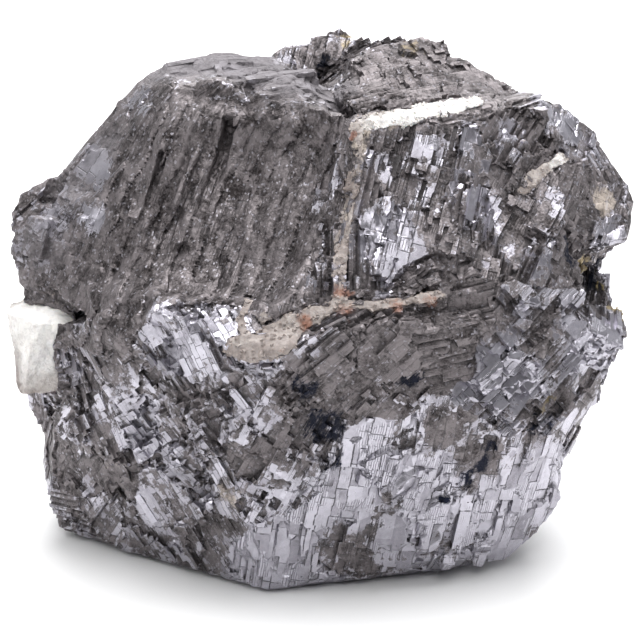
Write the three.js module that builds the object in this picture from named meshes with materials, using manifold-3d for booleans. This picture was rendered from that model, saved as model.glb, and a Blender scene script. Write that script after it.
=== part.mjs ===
// A hand-sized broken lump of massive galena, with white calcite grown in its cracks.
// Millimetres, +Z up, the front towards -Y. The origin is on the resting plane, under the lump's middle.
import * as THREE from "three";
import { ConvexGeometry } from "three/addons/geometries/ConvexGeometry.js";
import { ImprovedNoise } from "three/addons/math/ImprovedNoise.js";
import { TessellateModifier } from "three/addons/modifiers/TessellateModifier.js";
import { mergeVertices } from "three/addons/utils/BufferGeometryUtils.js";
import Module from "manifold-3d";

const wasm = await Module();
wasm.setup();

// Driving dimensions
const WIDTH = 80; // across the front
const HEIGHT = 64; // from the resting plane to the knob at the back of the top
const GAP = 0.32; // clearance between the galena and the calcite set into it
const FACET = 8.4; // longest edge of a facet before the broken surface is roughened
const VEIN_DEPTH = 3.2; // how far the calcite goes into the galena
const VEIN_PROUD = 0.45; // how far it stands out of it
const VIEW_TILT = THREE.MathUtils.degToRad(18); // the veins are laid out as seen from this far above level
const EYE_LINE = 31; // height of the level that the veins are measured up from
const SEAT_TILT = 0.3; // radians by which the seat of a vein falls away more steeply than the view

// Uneven breaking of the surface: slow swells, then fine ones, calmer on the clean cleavage faces.
const SWELL = { size: 10, height: 1.0 };
const RIPPLE = { size: 4.2, height: 0.5 };
const CALM_FACES = [
  { middle: [12, -18, 13], reach: 17 },
  { middle: [13.5, -13, 49.5], reach: 11 },
];
const CALM = 0.35; // share of the roughness left in the middle of a calm face
const FOOT_FADE = 5; // height over which the roughness dies away towards the resting face
const CALM_EDGE = [0.6, 1.2]; // shares of its reach between which the roughness comes back to full
const NOISE_SHIFT = [7, 19, 31]; // moves the noise of each direction to another place in the pattern
const SPLIT_ROUNDS = 12; // enough halvings to bring every edge under the longest facet
const SAME_CORNER = 1e-4; // corners this close are the same one
const WELD = 0.005; // corners closer than this become one in the finished pieces

// The lump is the sum of its main fragments, each a flat-sided block between its outermost corners.
const FRAGMENTS = {
  foot: [
    [-38.2, 3, 28.7], [-33, -4, 32.4], [-27.4, -11, 35], [-19.6, -17, 36.5], [-10.3, -22.5, 34.1],
    [-2.4, -24, 36.9], [14.5, -22.5, 38.2], [29.4, -18, 35.2], [39.6, -3, 32],
    [-38, 4, 21.4], [-36.4, 6, 5.2], [-34.6, 3, 0.8], [-24.7, -5, 1], [-6.9, -17, 0.7],
    [9.8, -20.5, 22], [15.2, -14, 3.3], [23.8, -9, 1.4], [29.9, -7, 7.6], [35.9, -5, 23],
    [-6, -13, 0], [-22, -4, 0], [-30, 8, 0], [-24, 19, 0], [2, 23, 0], [19, 14, 0], [19, -4, 0], [9, -11, 0],
    [-30, 24, 22], [-26, 24, 8], [6, 28, 9], [28, 22, 14], [33, 20, 34], [10, 30, 34], [-12, 29, 30],
  ],
  leftKnob: [
    [-39.8, 6, 43.3], [-39.4, 5, 40], [-38.7, 4, 36], [-37.4, 4, 33.2], [-31, -1, 32.4], [-38.9, 8, 45.8],
    [-35.4, 9, 47.4], [-31.6, 6, 45.3], [-28, -4, 37], [-33, 16, 36], [-28, 20, 44],
  ],
  leftShoulder: [
    [-34.8, 9, 46.8], [-28.8, 10, 53.8], [-24.2, 12, 59], [-19.4, 14, 61.8], [-14.4, 17, 62.6],
    [-7.6, 20, 62.2], [-18.8, 4, 60.6], [-8.8, 0, 61.1], [-2.5, -2, 61], [3.9, -8, 58.2], [2.4, -21.6, 37],
    [-10.3, -21.6, 33], [-19.6, -16.4, 35], [-27.4, -10.4, 33.6], [-33, -2, 36],
    [-32, 18, 40], [-20, 22, 57], [-8, 27, 52], [-12, 29, 30], [5, 25, 55],
  ],
  rightShoulder: [
    [3.9, -8, 58.2], [19.8, -5, 60], [27.8, 3, 59.9], [31.3, 6, 58.6], [34.6, 6, 54.6], [40.3, 4, 45.9],
    [40.2, 2, 43.1], [38.4, 0, 39.5], [31.5, -12, 40], [29, -16.5, 34.6], [14.5, -21.5, 36.6],
    [2.4, -21.6, 36], [30, 17, 52], [24, 12, 59], [12, 25, 56], [33, 20, 36], [10, 30, 34], [3, 18, 60],
  ],
  crown: [
    [1.9, 6, 62.8], [3.3, 18, 63.4], [11.9, 14, 64], [15.5, 12, 63.8], [19.2, 9, 62.8], [23.1, 4, 60.8],
    [19.9, -3.5, 60], [4.9, -6, 58.2], [3.1, -2, 60.5], [24, 12, 59], [8, 24, 58], [0, 16, 58],
  ],
  back: [
    [-36.6, 9, 35], [-33, 17, 40], [-27, 19, 50], [-16, 20, 58], [-30, 24, 24], [-14, 29, 32], [-10, 28, 46],
    [2, 27, 56], [10, 30, 36], [16, 25, 53], [28, 18, 50], [33, 20, 34], [37, 7, 44], [37.5, 5, 36],
    [24, 24, 22],
  ],
  backKnob: [
    [-4.6, 22, 62], [-2.6, 22, 63.2], [2, 21, HEIGHT], [5, 18, 63.6], [7, 15, 62.8],
    [0, 14, 61], [0, 25, 60], [-8, 25, 56], [6, 26, 56],
  ],
};

// Rounded hollows broken out of the lump: their middle on the surface, and how wide and deep they are.
const HOLLOWS = [
  { name: "shell", middle: [-16, -9.5, 48.5], facing: [-0.2, -0.78, 0.6],
    radius: 27, depth: 5.2, stretch: [1.25, 1, 1] },
  { name: "notch", middle: [37, -4, 39], facing: [0.75, -0.62, 0.1],
    radius: 6, depth: 4.2, stretch: [1, 1, 0.62] },
  { name: "waist", middle: [33.5, -6, 15.5], facing: [0.85, -0.5, -0.1],
    radius: 11, depth: 1.6, stretch: [1, 1, 1] },
  { name: "cleft", middle: [-1.5, 8, 63], facing: [-0.1, -0.3, 0.95],
    radius: 5, depth: 1.8, stretch: [1.3, 0.8, 1] },
  { name: "back", middle: [8, 29, 42], facing: [0.15, 0.95, 0.25],
    radius: 22, depth: 2.6, stretch: [1.2, 1, 1] },
];

// The crystal grains that reach the surface. Galena breaks along three planes square to each other, so each
// grain shows ledges that all lie the same way: length runs along "along", and the top faces "facing".
const GRAINS = [
  { name: "big cleavage face", middle: [12, -18, 13], facing: [0.25, -0.96, -0.08], along: [0.3, 0.1, 0.95],
    reach: [17, 10], ledges: 8, length: [5, 12], width: [2, 5], step: [0.3, 0.9] },
  { name: "stair under the right ridge", middle: [23, -18.5, 31], facing: [0.3, -0.9, 0.3],
    along: [0.62, 0.35, 0.7],
    reach: [13, 4.5], ledges: 6, length: [3, 7], width: [2, 3.5], step: [0.5, 1.2] },
  { name: "middle slabs", middle: [13.5, -13, 49.5], facing: [0.02, -0.8, 0.6], along: [0.26, 0.55, 0.79],
    reach: [12, 9], ledges: 8, length: [4, 9], width: [2, 4.5], step: [0.4, 1.1] },
  { name: "right slabs", middle: [30, -6, 50], facing: [0.42, -0.75, 0.5], along: [0.5, 0.6, 0.62],
    reach: [7, 10], ledges: 6, length: [3, 7], width: [2, 4], step: [0.5, 1.3] },
  { name: "front shoulder", middle: [6, -22.5, 32], facing: [-0.1, -0.93, 0.35], along: [0.8, 0, 0.6],
    reach: [13, 6], ledges: 6, length: [3, 6], width: [2, 4], step: [0.5, 1.1] },
  { name: "feathered ridge", middle: [-16, -17, 31], facing: [-0.5, -0.82, 0.28], along: [-0.45, 0.05, 0.9],
    reach: [7, 8], ledges: 6, length: [3, 7], width: [1.6, 3], step: [0.5, 1.2] },
  { name: "left knobs", middle: [-25, -7, 15], facing: [-0.5, -0.86, 0], along: [0.5, -0.3, 0.8],
    reach: [13, 10], ledges: 10, length: [2.5, 6], width: [2, 4], step: [0.6, 1.5] },
  { name: "left rim", middle: [-33, 3, 42], facing: [-0.6, -0.75, 0.3], along: [0.2, 0.2, 0.95],
    reach: [6, 8], ledges: 4, length: [3, 6], width: [2, 4], step: [0.6, 1.4] },
  { name: "ribs in the hollow", middle: [-14, -8, 48], facing: [-0.15, -0.78, 0.6],
    along: [0.28, 0.55, 0.78],
    reach: [11, 8], ledges: 7, length: [6, 12], width: [0.9, 1.6], step: [0.35, 0.8] },
  { name: "crown blocks", middle: [13, 3, 61.5], facing: [0, -0.62, 0.78], along: [1, 0.1, 0.1],
    reach: [9, 6], ledges: 5, length: [2.5, 5], width: [2, 3.5], step: [0.5, 1.2] },
  { name: "flat top", middle: [-9, 8, 62], facing: [-0.08, 0, 1], along: [1, 0.2, 0],
    reach: [8, 6], ledges: 3, length: [5, 9], width: [3, 5], step: [0.3, 0.6] },
  { name: "back left", middle: [-20, 26, 38], facing: [-0.4, 0.9, 0.2], along: [0.4, 0.1, 0.9],
    reach: [12, 14], ledges: 7, length: [4, 9], width: [3, 6], step: [0.6, 1.6] },
  { name: "back right", middle: [20, 26, 30], facing: [0.35, 0.92, 0.1], along: [0.9, 0, 0.4],
    reach: [14, 16], ledges: 8, length: [4, 10], width: [3, 6], step: [0.6, 1.6] },
  { name: "right end", middle: [35, 8, 30], facing: [0.98, -0.1, 0], along: [0, 0.3, 0.95],
    reach: [10, 14], ledges: 5, length: [4, 8], width: [2.5, 5], step: [0.5, 1.4] },
];
const LEDGE_ROOT = 3; // how deep a raised ledge is rooted in the lump
const CUT_SHARE = 0.4; // of the ledges are broken out instead of standing proud
const LEDGE_SEED = 11; // fixes where the ledges fall
const BALL_DETAIL = 3; // how finely a hollow is rounded

// The calcite veins, as [x across, height up the picture, width], laid out on the front.
const VEIN_ARMS = {
  crossing: [[20, 27.2, 1.0], [15.6, 26.3, 2.1], [10.4, 25.2, 2.0], [4.5, 24.2, 2.2]],
  upright: [
    [4.7, 24.4, 2.0], [4.4, 20.2, 1.7], [3.9, 16.8, 1.6], [3.1, 11.6, 1.8], [2.4, 6.6, 1.5], [2.3, 2.2, 1.2],
  ],
  right: [[2.0, 2.0, 1.3], [7, 1.7, 1.0], [11, 2.4, 1.1], [14.8, 3.2, 0.8]],
  pocket: [[2.4, 2.0, 1.4], [-1.6, 0.2, 2.4], [-5, -2.2, 4.2], [-8.6, -3.6, 3.6], [-11.4, -3.0, 1.6]],
  hook: [[-8.4, -3.4, 2.0], [-9.6, 0, 1.2], [-8.6, 2.6, 0.9]],
};
const VEINLET = [[24.8, 15.6, 1.4], [26.8, 18, 1.6], [30.6, 20.6, 1.2]];
const BLOCK = { middle: [-35.4, 1.5, 27.6], size: [7.4, 9, 9.6], turn: [0.1, -0.05, 0.12] };

// A closed geometry as a solid that can be joined and cut, and back.
function solidOf(geometry) {
  const bare = geometry.clone();
  bare.deleteAttribute("normal");
  bare.deleteAttribute("uv");
  const merged = mergeVertices(bare, SAME_CORNER);
  return new wasm.Manifold(
    new wasm.Mesh({
      numProp: 3,
      vertProperties: merged.attributes.position.array,
      triVerts: new Uint32Array(merged.index.array),
    }),
  );
}

function geometryOf(solid) {
  const mesh = solid.getMesh();
  const geometry = new THREE.BufferGeometry();
  geometry.setAttribute("position", new THREE.BufferAttribute(mesh.vertProperties, 3));
  geometry.setIndex(new THREE.BufferAttribute(mesh.triVerts, 1));
  return geometry;
}

const join = (solids) => solids.reduce((all, next) => all.add(next));

// Repeatable random numbers, low to high.
function randomFrom(seed) {
  let state = seed;
  return ([low, high]) => {
    state = (state * 1664525 + 1013904223) % 4294967296;
    return low + ((high - low) * state) / 4294967296;
  };
}

// The largest body of a cut mesh, without the crumbs that a cut leaves loose.
function largestBody(geometry) {
  const index = geometry.index.array;
  const root = Array.from({ length: geometry.attributes.position.count }, (_, i) => i);
  const find = (i) => {
    while (root[i] !== i) {
      root[i] = root[root[i]];
      i = root[i];
    }
    return i;
  };
  for (let i = 0; i < index.length; i += 3) {
    root[find(index[i])] = find(index[i + 1]);
    root[find(index[i + 1])] = find(index[i + 2]);
  }
  const faces = new Map();
  for (let i = 0; i < index.length; i += 3) {
    const body = find(index[i]);
    if (!faces.has(body)) faces.set(body, []);
    faces.get(body).push(index[i], index[i + 1], index[i + 2]);
  }
  const largest = [...faces.values()].reduce((a, b) => (a.length > b.length ? a : b));
  const body = new THREE.BufferGeometry();
  body.setAttribute("position", geometry.attributes.position);
  body.setIndex(largest);
  return body;
}

// Rounds every corner to the weld length, and drops the slivers and the double faces that close up.
function welded(geometry) {
  const rounded = geometry.clone();
  const position = rounded.attributes.position;
  for (let i = 0; i < position.array.length; i++) {
    position.array[i] = Math.round(position.array[i] / WELD) * WELD;
  }
  const merged = mergeVertices(rounded, WELD / 4);
  const index = merged.index.array;
  const faces = new Map();
  for (let i = 0; i < index.length; i += 3) {
    const face = [index[i], index[i + 1], index[i + 2]];
    if (new Set(face).size < 3) continue;
    const key = [...face].sort((a, b) => a - b).join();
    if (faces.has(key)) faces.delete(key);
    else faces.set(key, face);
  }
  merged.setIndex([...faces.values()].flat());
  return merged;
}

function fragment(corners) {
  return solidOf(new ConvexGeometry(corners.map((corner) => new THREE.Vector3(...corner))));
}

function hollow({ middle, facing, radius, depth, stretch }) {
  const out = new THREE.Vector3(...facing).normalize();
  const centre = new THREE.Vector3(...middle).addScaledVector(out, radius - depth);
  const ball = new THREE.IcosahedronGeometry(radius, BALL_DETAIL);
  ball.scale(...stretch);
  ball.translate(...centre);
  return solidOf(ball);
}

// Share of the full roughness at a point: less on the clean faces, none on the resting face.
function roughnessAt(point) {
  let share = THREE.MathUtils.clamp(point.z / FOOT_FADE, 0, 1);
  for (const { middle, reach } of CALM_FACES) {
    const away = point.distanceTo(new THREE.Vector3(...middle)) / reach;
    share *= CALM + (1 - CALM) * THREE.MathUtils.smoothstep(away, ...CALM_EDGE);
  }
  return share;
}

// Breaks a smooth-faced solid up: splits its long edges, then shifts every corner by three noises.
function roughened(solid) {
  const split = new TessellateModifier(FACET, SPLIT_ROUNDS).modify(geometryOf(solid).toNonIndexed());
  const geometry = mergeVertices(split, SAME_CORNER);
  const noise = new ImprovedNoise();
  const position = geometry.attributes.position;
  const point = new THREE.Vector3();
  const shift = new THREE.Vector3();
  for (let i = 0; i < position.count; i++) {
    point.fromBufferAttribute(position, i);
    shift.set(0, 0, 0);
    for (const { size, height } of [SWELL, RIPPLE]) {
      const [x, y, z] = point.clone().divideScalar(size);
      shift.x += height * noise.noise(x + NOISE_SHIFT[0], y, z);
      shift.y += height * noise.noise(x, y + NOISE_SHIFT[1], z);
      shift.z += height * noise.noise(x, y, z + NOISE_SHIFT[2]);
    }
    point.addScaledVector(shift, 2 * roughnessAt(point));
    position.setXYZ(i, point.x, point.y, Math.max(point.z, 0));
  }
  return solidOf(geometry);
}

// The ledges of one grain: raised ones to be joined on, and broken-out ones to be cut away.
function ledgesOf(grain, surface, random) {
  const out = new THREE.Vector3(...grain.facing).normalize();
  const across = new THREE.Vector3().crossVectors(out, new THREE.Vector3(...grain.along)).normalize();
  const along = new THREE.Vector3().crossVectors(across, out).normalize();
  const turn = new THREE.Matrix4().makeBasis(along, across, out);
  const raised = [];
  const broken = [];
  for (let i = 0; i < grain.ledges; i++) {
    const start = new THREE.Vector3(...grain.middle)
      .addScaledVector(along, random([-1, 1]) * grain.reach[1])
      .addScaledVector(across, random([-1, 1]) * grain.reach[0])
      .addScaledVector(out, WIDTH / 2);
    const length = random(grain.length);
    const width = random(grain.width);
    const step = random(grain.step);
    const cut = random([0, 1]) < CUT_SHARE;
    const [hit] = new THREE.Raycaster(start, out.clone().negate()).intersectObject(surface);
    if (!hit || hit.point.z < FOOT_FADE / 2) continue;
    const block = new THREE.BoxGeometry(length, width, LEDGE_ROOT);
    block.applyMatrix4(turn);
    block.translate(...hit.point.addScaledVector(out, cut ? LEDGE_ROOT / 2 - step : step - LEDGE_ROOT / 2));
    (cut ? broken : raised).push(solidOf(block));
  }
  return { raised, broken };
}

function withLedges(solid) {
  const surface = new THREE.Mesh(geometryOf(solid), new THREE.MeshBasicMaterial({ side: THREE.DoubleSide }));
  const random = randomFrom(LEDGE_SEED);
  const ledges = GRAINS.map((grain) => ledgesOf(grain, surface, random));
  return solid
    .add(join(ledges.flatMap(({ raised }) => raised)))
    .subtract(join(ledges.flatMap(({ broken }) => broken)));
}

// The outline of one vein arm, wider by twice "margin", with blunt ends.
function armOutline(arm, margin) {
  const left = [];
  const right = [];
  arm.forEach(([x, up, width], i) => {
    const before = arm[Math.max(i - 1, 0)];
    const after = arm[Math.min(i + 1, arm.length - 1)];
    const run = new THREE.Vector2(after[0] - before[0], after[1] - before[1]).normalize();
    const half = width / 2 + margin;
    const end = i === 0 ? -margin : i === arm.length - 1 ? margin : 0;
    const here = new THREE.Vector2(x, up).addScaledVector(run, end);
    left.push(new THREE.Vector2(here.x - run.y * half, here.y + run.x * half));
    right.unshift(new THREE.Vector2(here.x + run.y * half, here.y - run.x * half));
  });
  return new THREE.Shape([...left, ...right]);
}

// A sheet of mineral filling a crack: the outlines carried straight back into the lump.
function sheet(arms, margin) {
  return join(
    arms.map((arm) => {
      const body = new THREE.ExtrudeGeometry(armOutline(arm, margin), { depth: WIDTH, bevelEnabled: false });
      body.translate(0, 0, -WIDTH / 4);
      body.rotateX(Math.PI / 2 - VIEW_TILT);
      body.translate(0, 0, EYE_LINE);
      return solidOf(body);
    }),
  );
}

// A body shifted away from the viewer, and a little down, by "depth".
function shifted(geometry, depth) {
  const fall = VIEW_TILT + SEAT_TILT;
  const inward = new THREE.Vector3(0, Math.cos(fall), -Math.sin(fall));
  return solidOf(geometry.clone().translate(...inward.multiplyScalar(depth)));
}

// The loose-edged lump of calcite at the left, larger all round by "margin".
function block(margin) {
  const body = new THREE.BoxGeometry(...BLOCK.size.map((side) => side + 2 * margin), 2, 2, 2);
  const turned = new THREE.Matrix4().makeRotationFromEuler(new THREE.Euler(...BLOCK.turn));
  body.applyMatrix4(turned).translate(...BLOCK.middle);
  return roughened(solidOf(body));
}

const smooth = join(Object.values(FRAGMENTS).map(fragment)).subtract(join(HOLLOWS.map(hollow)));
const lump = largestBody(geometryOf(withLedges(roughened(smooth))));

const arms = Object.values(VEIN_ARMS);
const filled = shifted(lump, -VEIN_PROUD).subtract(shifted(geometryOf(smooth), VEIN_DEPTH));
const grooves = sheet([...arms, VEINLET], GAP).subtract(shifted(geometryOf(smooth), VEIN_DEPTH + GAP));

// One piece of the specimen, in its own mineral.
function piece(name, solid, look) {
  const mesh = new THREE.Mesh(welded(largestBody(geometryOf(solid))), new THREE.MeshStandardMaterial(look));
  mesh.name = name;
  return mesh;
}

const GALENA = { color: 0x5c5a5c, roughness: 0.38, metalness: 0.85 };
const CALCITE = { color: 0xd9cfc2, roughness: 0.55, metalness: 0 };

const specimen = new THREE.Group();
specimen.name = "galena_specimen";
specimen.add(
  piece("galena_mass", solidOf(lump).subtract(grooves).subtract(block(GAP)), GALENA),
  piece("calcite_vein", filled.intersect(sheet(arms, 0)), CALCITE),
  piece("calcite_veinlet", filled.intersect(sheet([VEINLET], 0)), CALCITE),
  piece("calcite_block", block(0), CALCITE),
);

// The origin goes under the middle of the whole specimen.
const middle = new THREE.Box3().setFromObject(specimen).getCenter(new THREE.Vector3());
specimen.position.set(-middle.x, -middle.y, 0);

export default specimen;
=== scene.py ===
# %% [markdown]
# # A lump of galena with calcite veins
#
# Galena is a heavy lead ore that breaks along three planes square to each other. A broken lump is
# therefore built of tiny stairs, slabs and bricks, and each crystal grain in it turns its stairs another
# way. Where a grain faces the light, all of its steps flash together like mirrors, and the rest of the
# lump stays dull grey-brown.
#
# The plan of this lesson: load the measured solids, grow stepped cleavage out of them with a distance
# field, fit the calcite into its cracks, paint both, scatter flakes and small crystals on them with
# Geometry Nodes, and light the stage.

# %% Load the measured solids
import itertools
import math
import time
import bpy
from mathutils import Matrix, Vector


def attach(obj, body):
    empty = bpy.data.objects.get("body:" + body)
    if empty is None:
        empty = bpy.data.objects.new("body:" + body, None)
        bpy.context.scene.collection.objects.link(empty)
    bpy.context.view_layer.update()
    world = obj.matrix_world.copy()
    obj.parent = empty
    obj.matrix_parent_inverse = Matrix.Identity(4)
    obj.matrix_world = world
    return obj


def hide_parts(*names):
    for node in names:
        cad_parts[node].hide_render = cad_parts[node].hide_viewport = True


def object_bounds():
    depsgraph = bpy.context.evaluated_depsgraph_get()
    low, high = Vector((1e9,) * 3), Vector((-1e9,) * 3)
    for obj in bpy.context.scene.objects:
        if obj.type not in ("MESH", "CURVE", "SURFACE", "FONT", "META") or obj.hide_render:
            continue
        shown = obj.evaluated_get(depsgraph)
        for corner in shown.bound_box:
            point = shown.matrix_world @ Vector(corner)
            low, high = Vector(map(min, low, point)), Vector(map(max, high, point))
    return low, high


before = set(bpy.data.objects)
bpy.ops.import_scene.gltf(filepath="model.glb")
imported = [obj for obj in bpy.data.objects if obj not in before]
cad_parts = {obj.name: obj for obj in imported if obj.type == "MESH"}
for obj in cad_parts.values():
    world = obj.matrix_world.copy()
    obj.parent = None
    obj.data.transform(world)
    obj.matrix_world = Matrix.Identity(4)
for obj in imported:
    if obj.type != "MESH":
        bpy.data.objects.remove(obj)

from concurrent.futures import ThreadPoolExecutor

import bmesh
import bpy
import numpy as np
import openvdb
from mathutils import Matrix, Vector
from mathutils.bvhtree import BVHTree

cad_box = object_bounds()
started = time.time()
MM = 0.001
print("solids:", sorted(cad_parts))
print("box in mm:", [round(v / MM, 1) for v in (*cad_box[0], *cad_box[1])])

# %% [markdown]
# ## The camera
#
# The picture was taken from the front, looking down at about 18 degrees, with a long lens. Working in
# millimetres on the object keeps the numbers friendly. The camera comes first because the spots of colour
# and the bright faces are found by looking along its lines of sight, as a restorer would point at them on
# a print.

# %% The camera
AIM = Vector((-0.1, -2.55, 31.0))  # millimetres, the point that the camera looks at
TILT = math.radians(18)
DISTANCE = 380.0
PICTURE = 640  # pixels a side
PIXELS_PER_MM = 7.78  # at the distance of the aim
SENSOR = 36.0

FORWARD = Vector((0, math.cos(TILT), -math.sin(TILT)))
UPWARD = Vector((0, math.sin(TILT), math.cos(TILT)))
EYE = AIM - FORWARD * DISTANCE

camera = bpy.data.objects.new("camera", bpy.data.cameras.new("camera"))
camera.data.sensor_width = SENSOR
camera.data.lens = SENSOR * DISTANCE * PIXELS_PER_MM / PICTURE
camera.data.clip_start, camera.data.clip_end = 0.01, 20  # metres
camera.location = EYE * MM
camera.rotation_mode = "QUATERNION"
camera.rotation_quaternion = FORWARD.to_track_quat("-Z", "Y")
bpy.context.scene.collection.objects.link(camera)
bpy.context.scene.camera = camera
print("lens in mm:", round(camera.data.lens, 1))


def sight_line(across, down):
    """The direction, in millimetres, from the eye through a place in the 640 by 640 picture."""
    side = (across - PICTURE / 2) / (PIXELS_PER_MM * DISTANCE)
    rise = (PICTURE / 2 - down) / (PIXELS_PER_MM * DISTANCE)
    return (FORWARD + Vector((1, 0, 0)) * side + UPWARD * rise).normalized()


# %% [markdown]
# ## Distance fields
#
# A distance field is a block of numbers that says, at every point of a grid, how far the surface is: below
# zero inside, above zero outside. Modelling with it is easy: the smaller of two fields joins two shapes,
# the larger cuts, and adding a little noise roughens. OpenVDB, which Blender ships with, turns a mesh into
# such a field and a field back into a mesh, so the stepped surface can be worked out with plain arithmetic
# in between.

# %% Distance fields from the solids
STONE_GRID = 0.26  # millimetres between grid points on the lump
REACH = 3.4  # millimetres on each side of the surface in which the distance is kept
MARGIN = 8  # grid points of air round the lump
low_corner = np.floor(np.array(cad_box[0]) / MM / STONE_GRID).astype(int) - MARGIN
high_corner = np.ceil(np.array(cad_box[1]) / MM / STONE_GRID).astype(int) + MARGIN


def node_triangles(node):
    """Corner points in millimetres and triangles of a measured solid."""
    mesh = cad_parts[node].data
    points = np.empty(len(mesh.vertices) * 3, np.float32)
    mesh.vertices.foreach_get("co", points)
    mesh.calc_loop_triangles()
    triangles = np.empty(len(mesh.loop_triangles) * 3, np.int32)
    mesh.loop_triangles.foreach_get("vertices", triangles)
    return points.reshape(-1, 3) / MM, triangles.reshape(-1, 3)


def distance_field(node, low, high, spacing):
    """The solid's distance field on the grid points from low to high."""
    points, triangles = node_triangles(node)
    rounded, index = np.unique(np.round(points, 4), axis=0, return_inverse=True)
    place = openvdb.createLinearTransform(voxelSize=spacing)
    grid = openvdb.FloatGrid.createLevelSetFromPolygons(
        rounded.astype(np.float32), triangles=index.reshape(-1)[triangles].astype(np.uint32),
        transform=place, halfWidth=REACH / spacing)
    field = np.empty(tuple(high - low + 1), np.float32)
    grid.copyToArray(field, ijk=tuple(int(v) for v in low))
    return field


def grid_points(low, spacing, index):
    """Places in millimetres of grid points given by their three index arrays."""
    return np.stack([(low[a] + index[a]) * spacing for a in range(3)], 1).astype(np.float32)


def cell_corners(part):
    """The eight corners of a grid cell, each with its weight at that place in the cell."""
    for corner in itertools.product((0, 1), repeat=3):
        weight = 1
        for axis, upper in enumerate(corner):
            weight = weight * (part[:, axis] if upper else 1 - part[:, axis])
        yield corner, weight


def look_up(field, low, spacing, points):
    """The field between its grid points, blended from the eight round each point."""
    at = points / spacing - low
    top = np.array(field.shape) - 2
    base = np.clip(np.floor(at).astype(np.int32), 0, top)
    part = np.clip(at - base, 0, 1).astype(np.float32)
    flat = field.reshape(-1)
    rows, columns = field.shape[1] * field.shape[2], field.shape[2]
    start = base[:, 0] * rows + base[:, 1] * columns + base[:, 2]
    total = 0
    for (dx, dy, dz), weight in cell_corners(part):
        total = total + weight * flat[start + dx * rows + dy * columns + dz]
    return total


solid = {name: distance_field(name, low_corner, high_corner, STONE_GRID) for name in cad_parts}
print("grid:", solid["galena_mass"].shape)

# %% [markdown]
# ## Pointing at the lump
#
# Cracks, hollows and stains are easiest to place by pointing at the picture. A line of sight through a
# pixel is followed until it meets the measured solids, and that place in space is what everything below
# uses. A stain is then a soft ball round a point, and a crack a path through space, so both hold up from
# any side.

# %% Pointing at the lump
CALCITE = ("calcite_vein", "calcite_veinlet", "calcite_block")


def measured_tree(*names):
    """A search tree over measured solids, in millimetres."""
    corners, faces, count = [], [], 0
    for name in names:
        points, triangles = node_triangles(name)
        corners += points.tolist()
        faces += (triangles + count).tolist()
        count += len(points)
    return BVHTree.FromPolygons(corners, faces)


surface = measured_tree("galena_mass", *CALCITE)


def touched(across, down):
    """The place where the line of sight through a place in the picture meets the lump."""
    line = sight_line(across, down)
    hit = surface.ray_cast(EYE, line)[0]
    return np.array(hit if hit else surface.find_nearest(EYE + line * DISTANCE)[0], np.float32)


def traced(path, every=10):
    """A path through space on the lump, followed from a path in the picture."""
    places = []
    for (x0, y0), (x1, y1) in zip(path[:-1], path[1:]):
        steps = max(1, round(math.hypot(x1 - x0, y1 - y0) / every))
        places += [touched(x0 + (x1 - x0) * i / steps, y0 + (y1 - y0) * i / steps) for i in range(steps)]
    return np.array(places + [touched(*path[-1])])


def away_from_path(points, path):
    """How far points are from a path through space."""
    least = np.full(len(points), 1e9, np.float32)
    for start, end in zip(path[:-1], path[1:]):
        run = end - start
        share = np.clip((points - start) @ run / max(float(run @ run), 1e-9), 0, 1)
        least = np.minimum(least, np.linalg.norm(points - start - share[:, None] * run, axis=1))
    return least


print("middle of the big face:", touched(420, 500).round(1))

# %% [markdown]
# ## Repeatable chance
#
# Every brick of the crystal needs its own random number, the same on each run. A hash does it: it
# scrambles the brick's whole-number address into a number from 0 to 1. Smooth noise comes from the same
# hash, blended between the corners of a coarse grid.

# %% A hash and a smooth noise
WORKERS = 4


def scrambled(*whole_numbers):
    """A number from 0 to 1 for each set of whole numbers."""
    mixed = np.uint32(2166136261)
    for number in whole_numbers:
        mixed = (mixed ^ np.asarray(number).astype(np.int64).astype(np.uint32)) * np.uint32(16777619)
        mixed = (mixed ^ (mixed >> np.uint32(15))) * np.uint32(2246822519)
    mixed = mixed ^ (mixed >> np.uint32(13))
    return (mixed >> np.uint32(8)).astype(np.float32) / np.float32(1 << 24)


def smooth_noise(points, size, seed):
    """A soft noise from -1 to 1 whose bumps are about that size across."""
    at = points / size
    base = np.floor(at).astype(np.int64)
    part = (at - base).astype(np.float32)
    part = part * part * (3 - 2 * part)
    total = 0
    for (dx, dy, dz), weight in cell_corners(part):
        total = total + weight * scrambled(base[:, 0] + dx, base[:, 1] + dy, base[:, 2] + dz, seed)
    return 2 * total - 1


def in_parts(work, points, parts=16):
    """The work's answer for all points, worked out on several parts of them at a time."""
    pieces = np.array_split(points, parts)
    with ThreadPoolExecutor(WORKERS) as workers:
        return np.concatenate(list(workers.map(work, pieces)))


# %% [markdown]
# ## The crystal grains
#
# Each grain below is one crystal that reaches the surface. `facing` is the way its smooth faces look, and
# `along` the way its long ledges run, both read off the picture. `brick` is the usual length, width and
# thickness of its bricks in millimetres. `ragged` says how unevenly the bricks broke off, `deep` how many
# millimetres the steps may stray from the measured surface, and `clean` how much of the fresh, mirror-like
# face is left under the tarnish.
#
# A few grains have more to say. `loose` is the share of the usual turn that their chips have, `follow` the
# share of the usual lean towards the surface, and `fine` how many times finer their painted pieces are.

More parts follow.
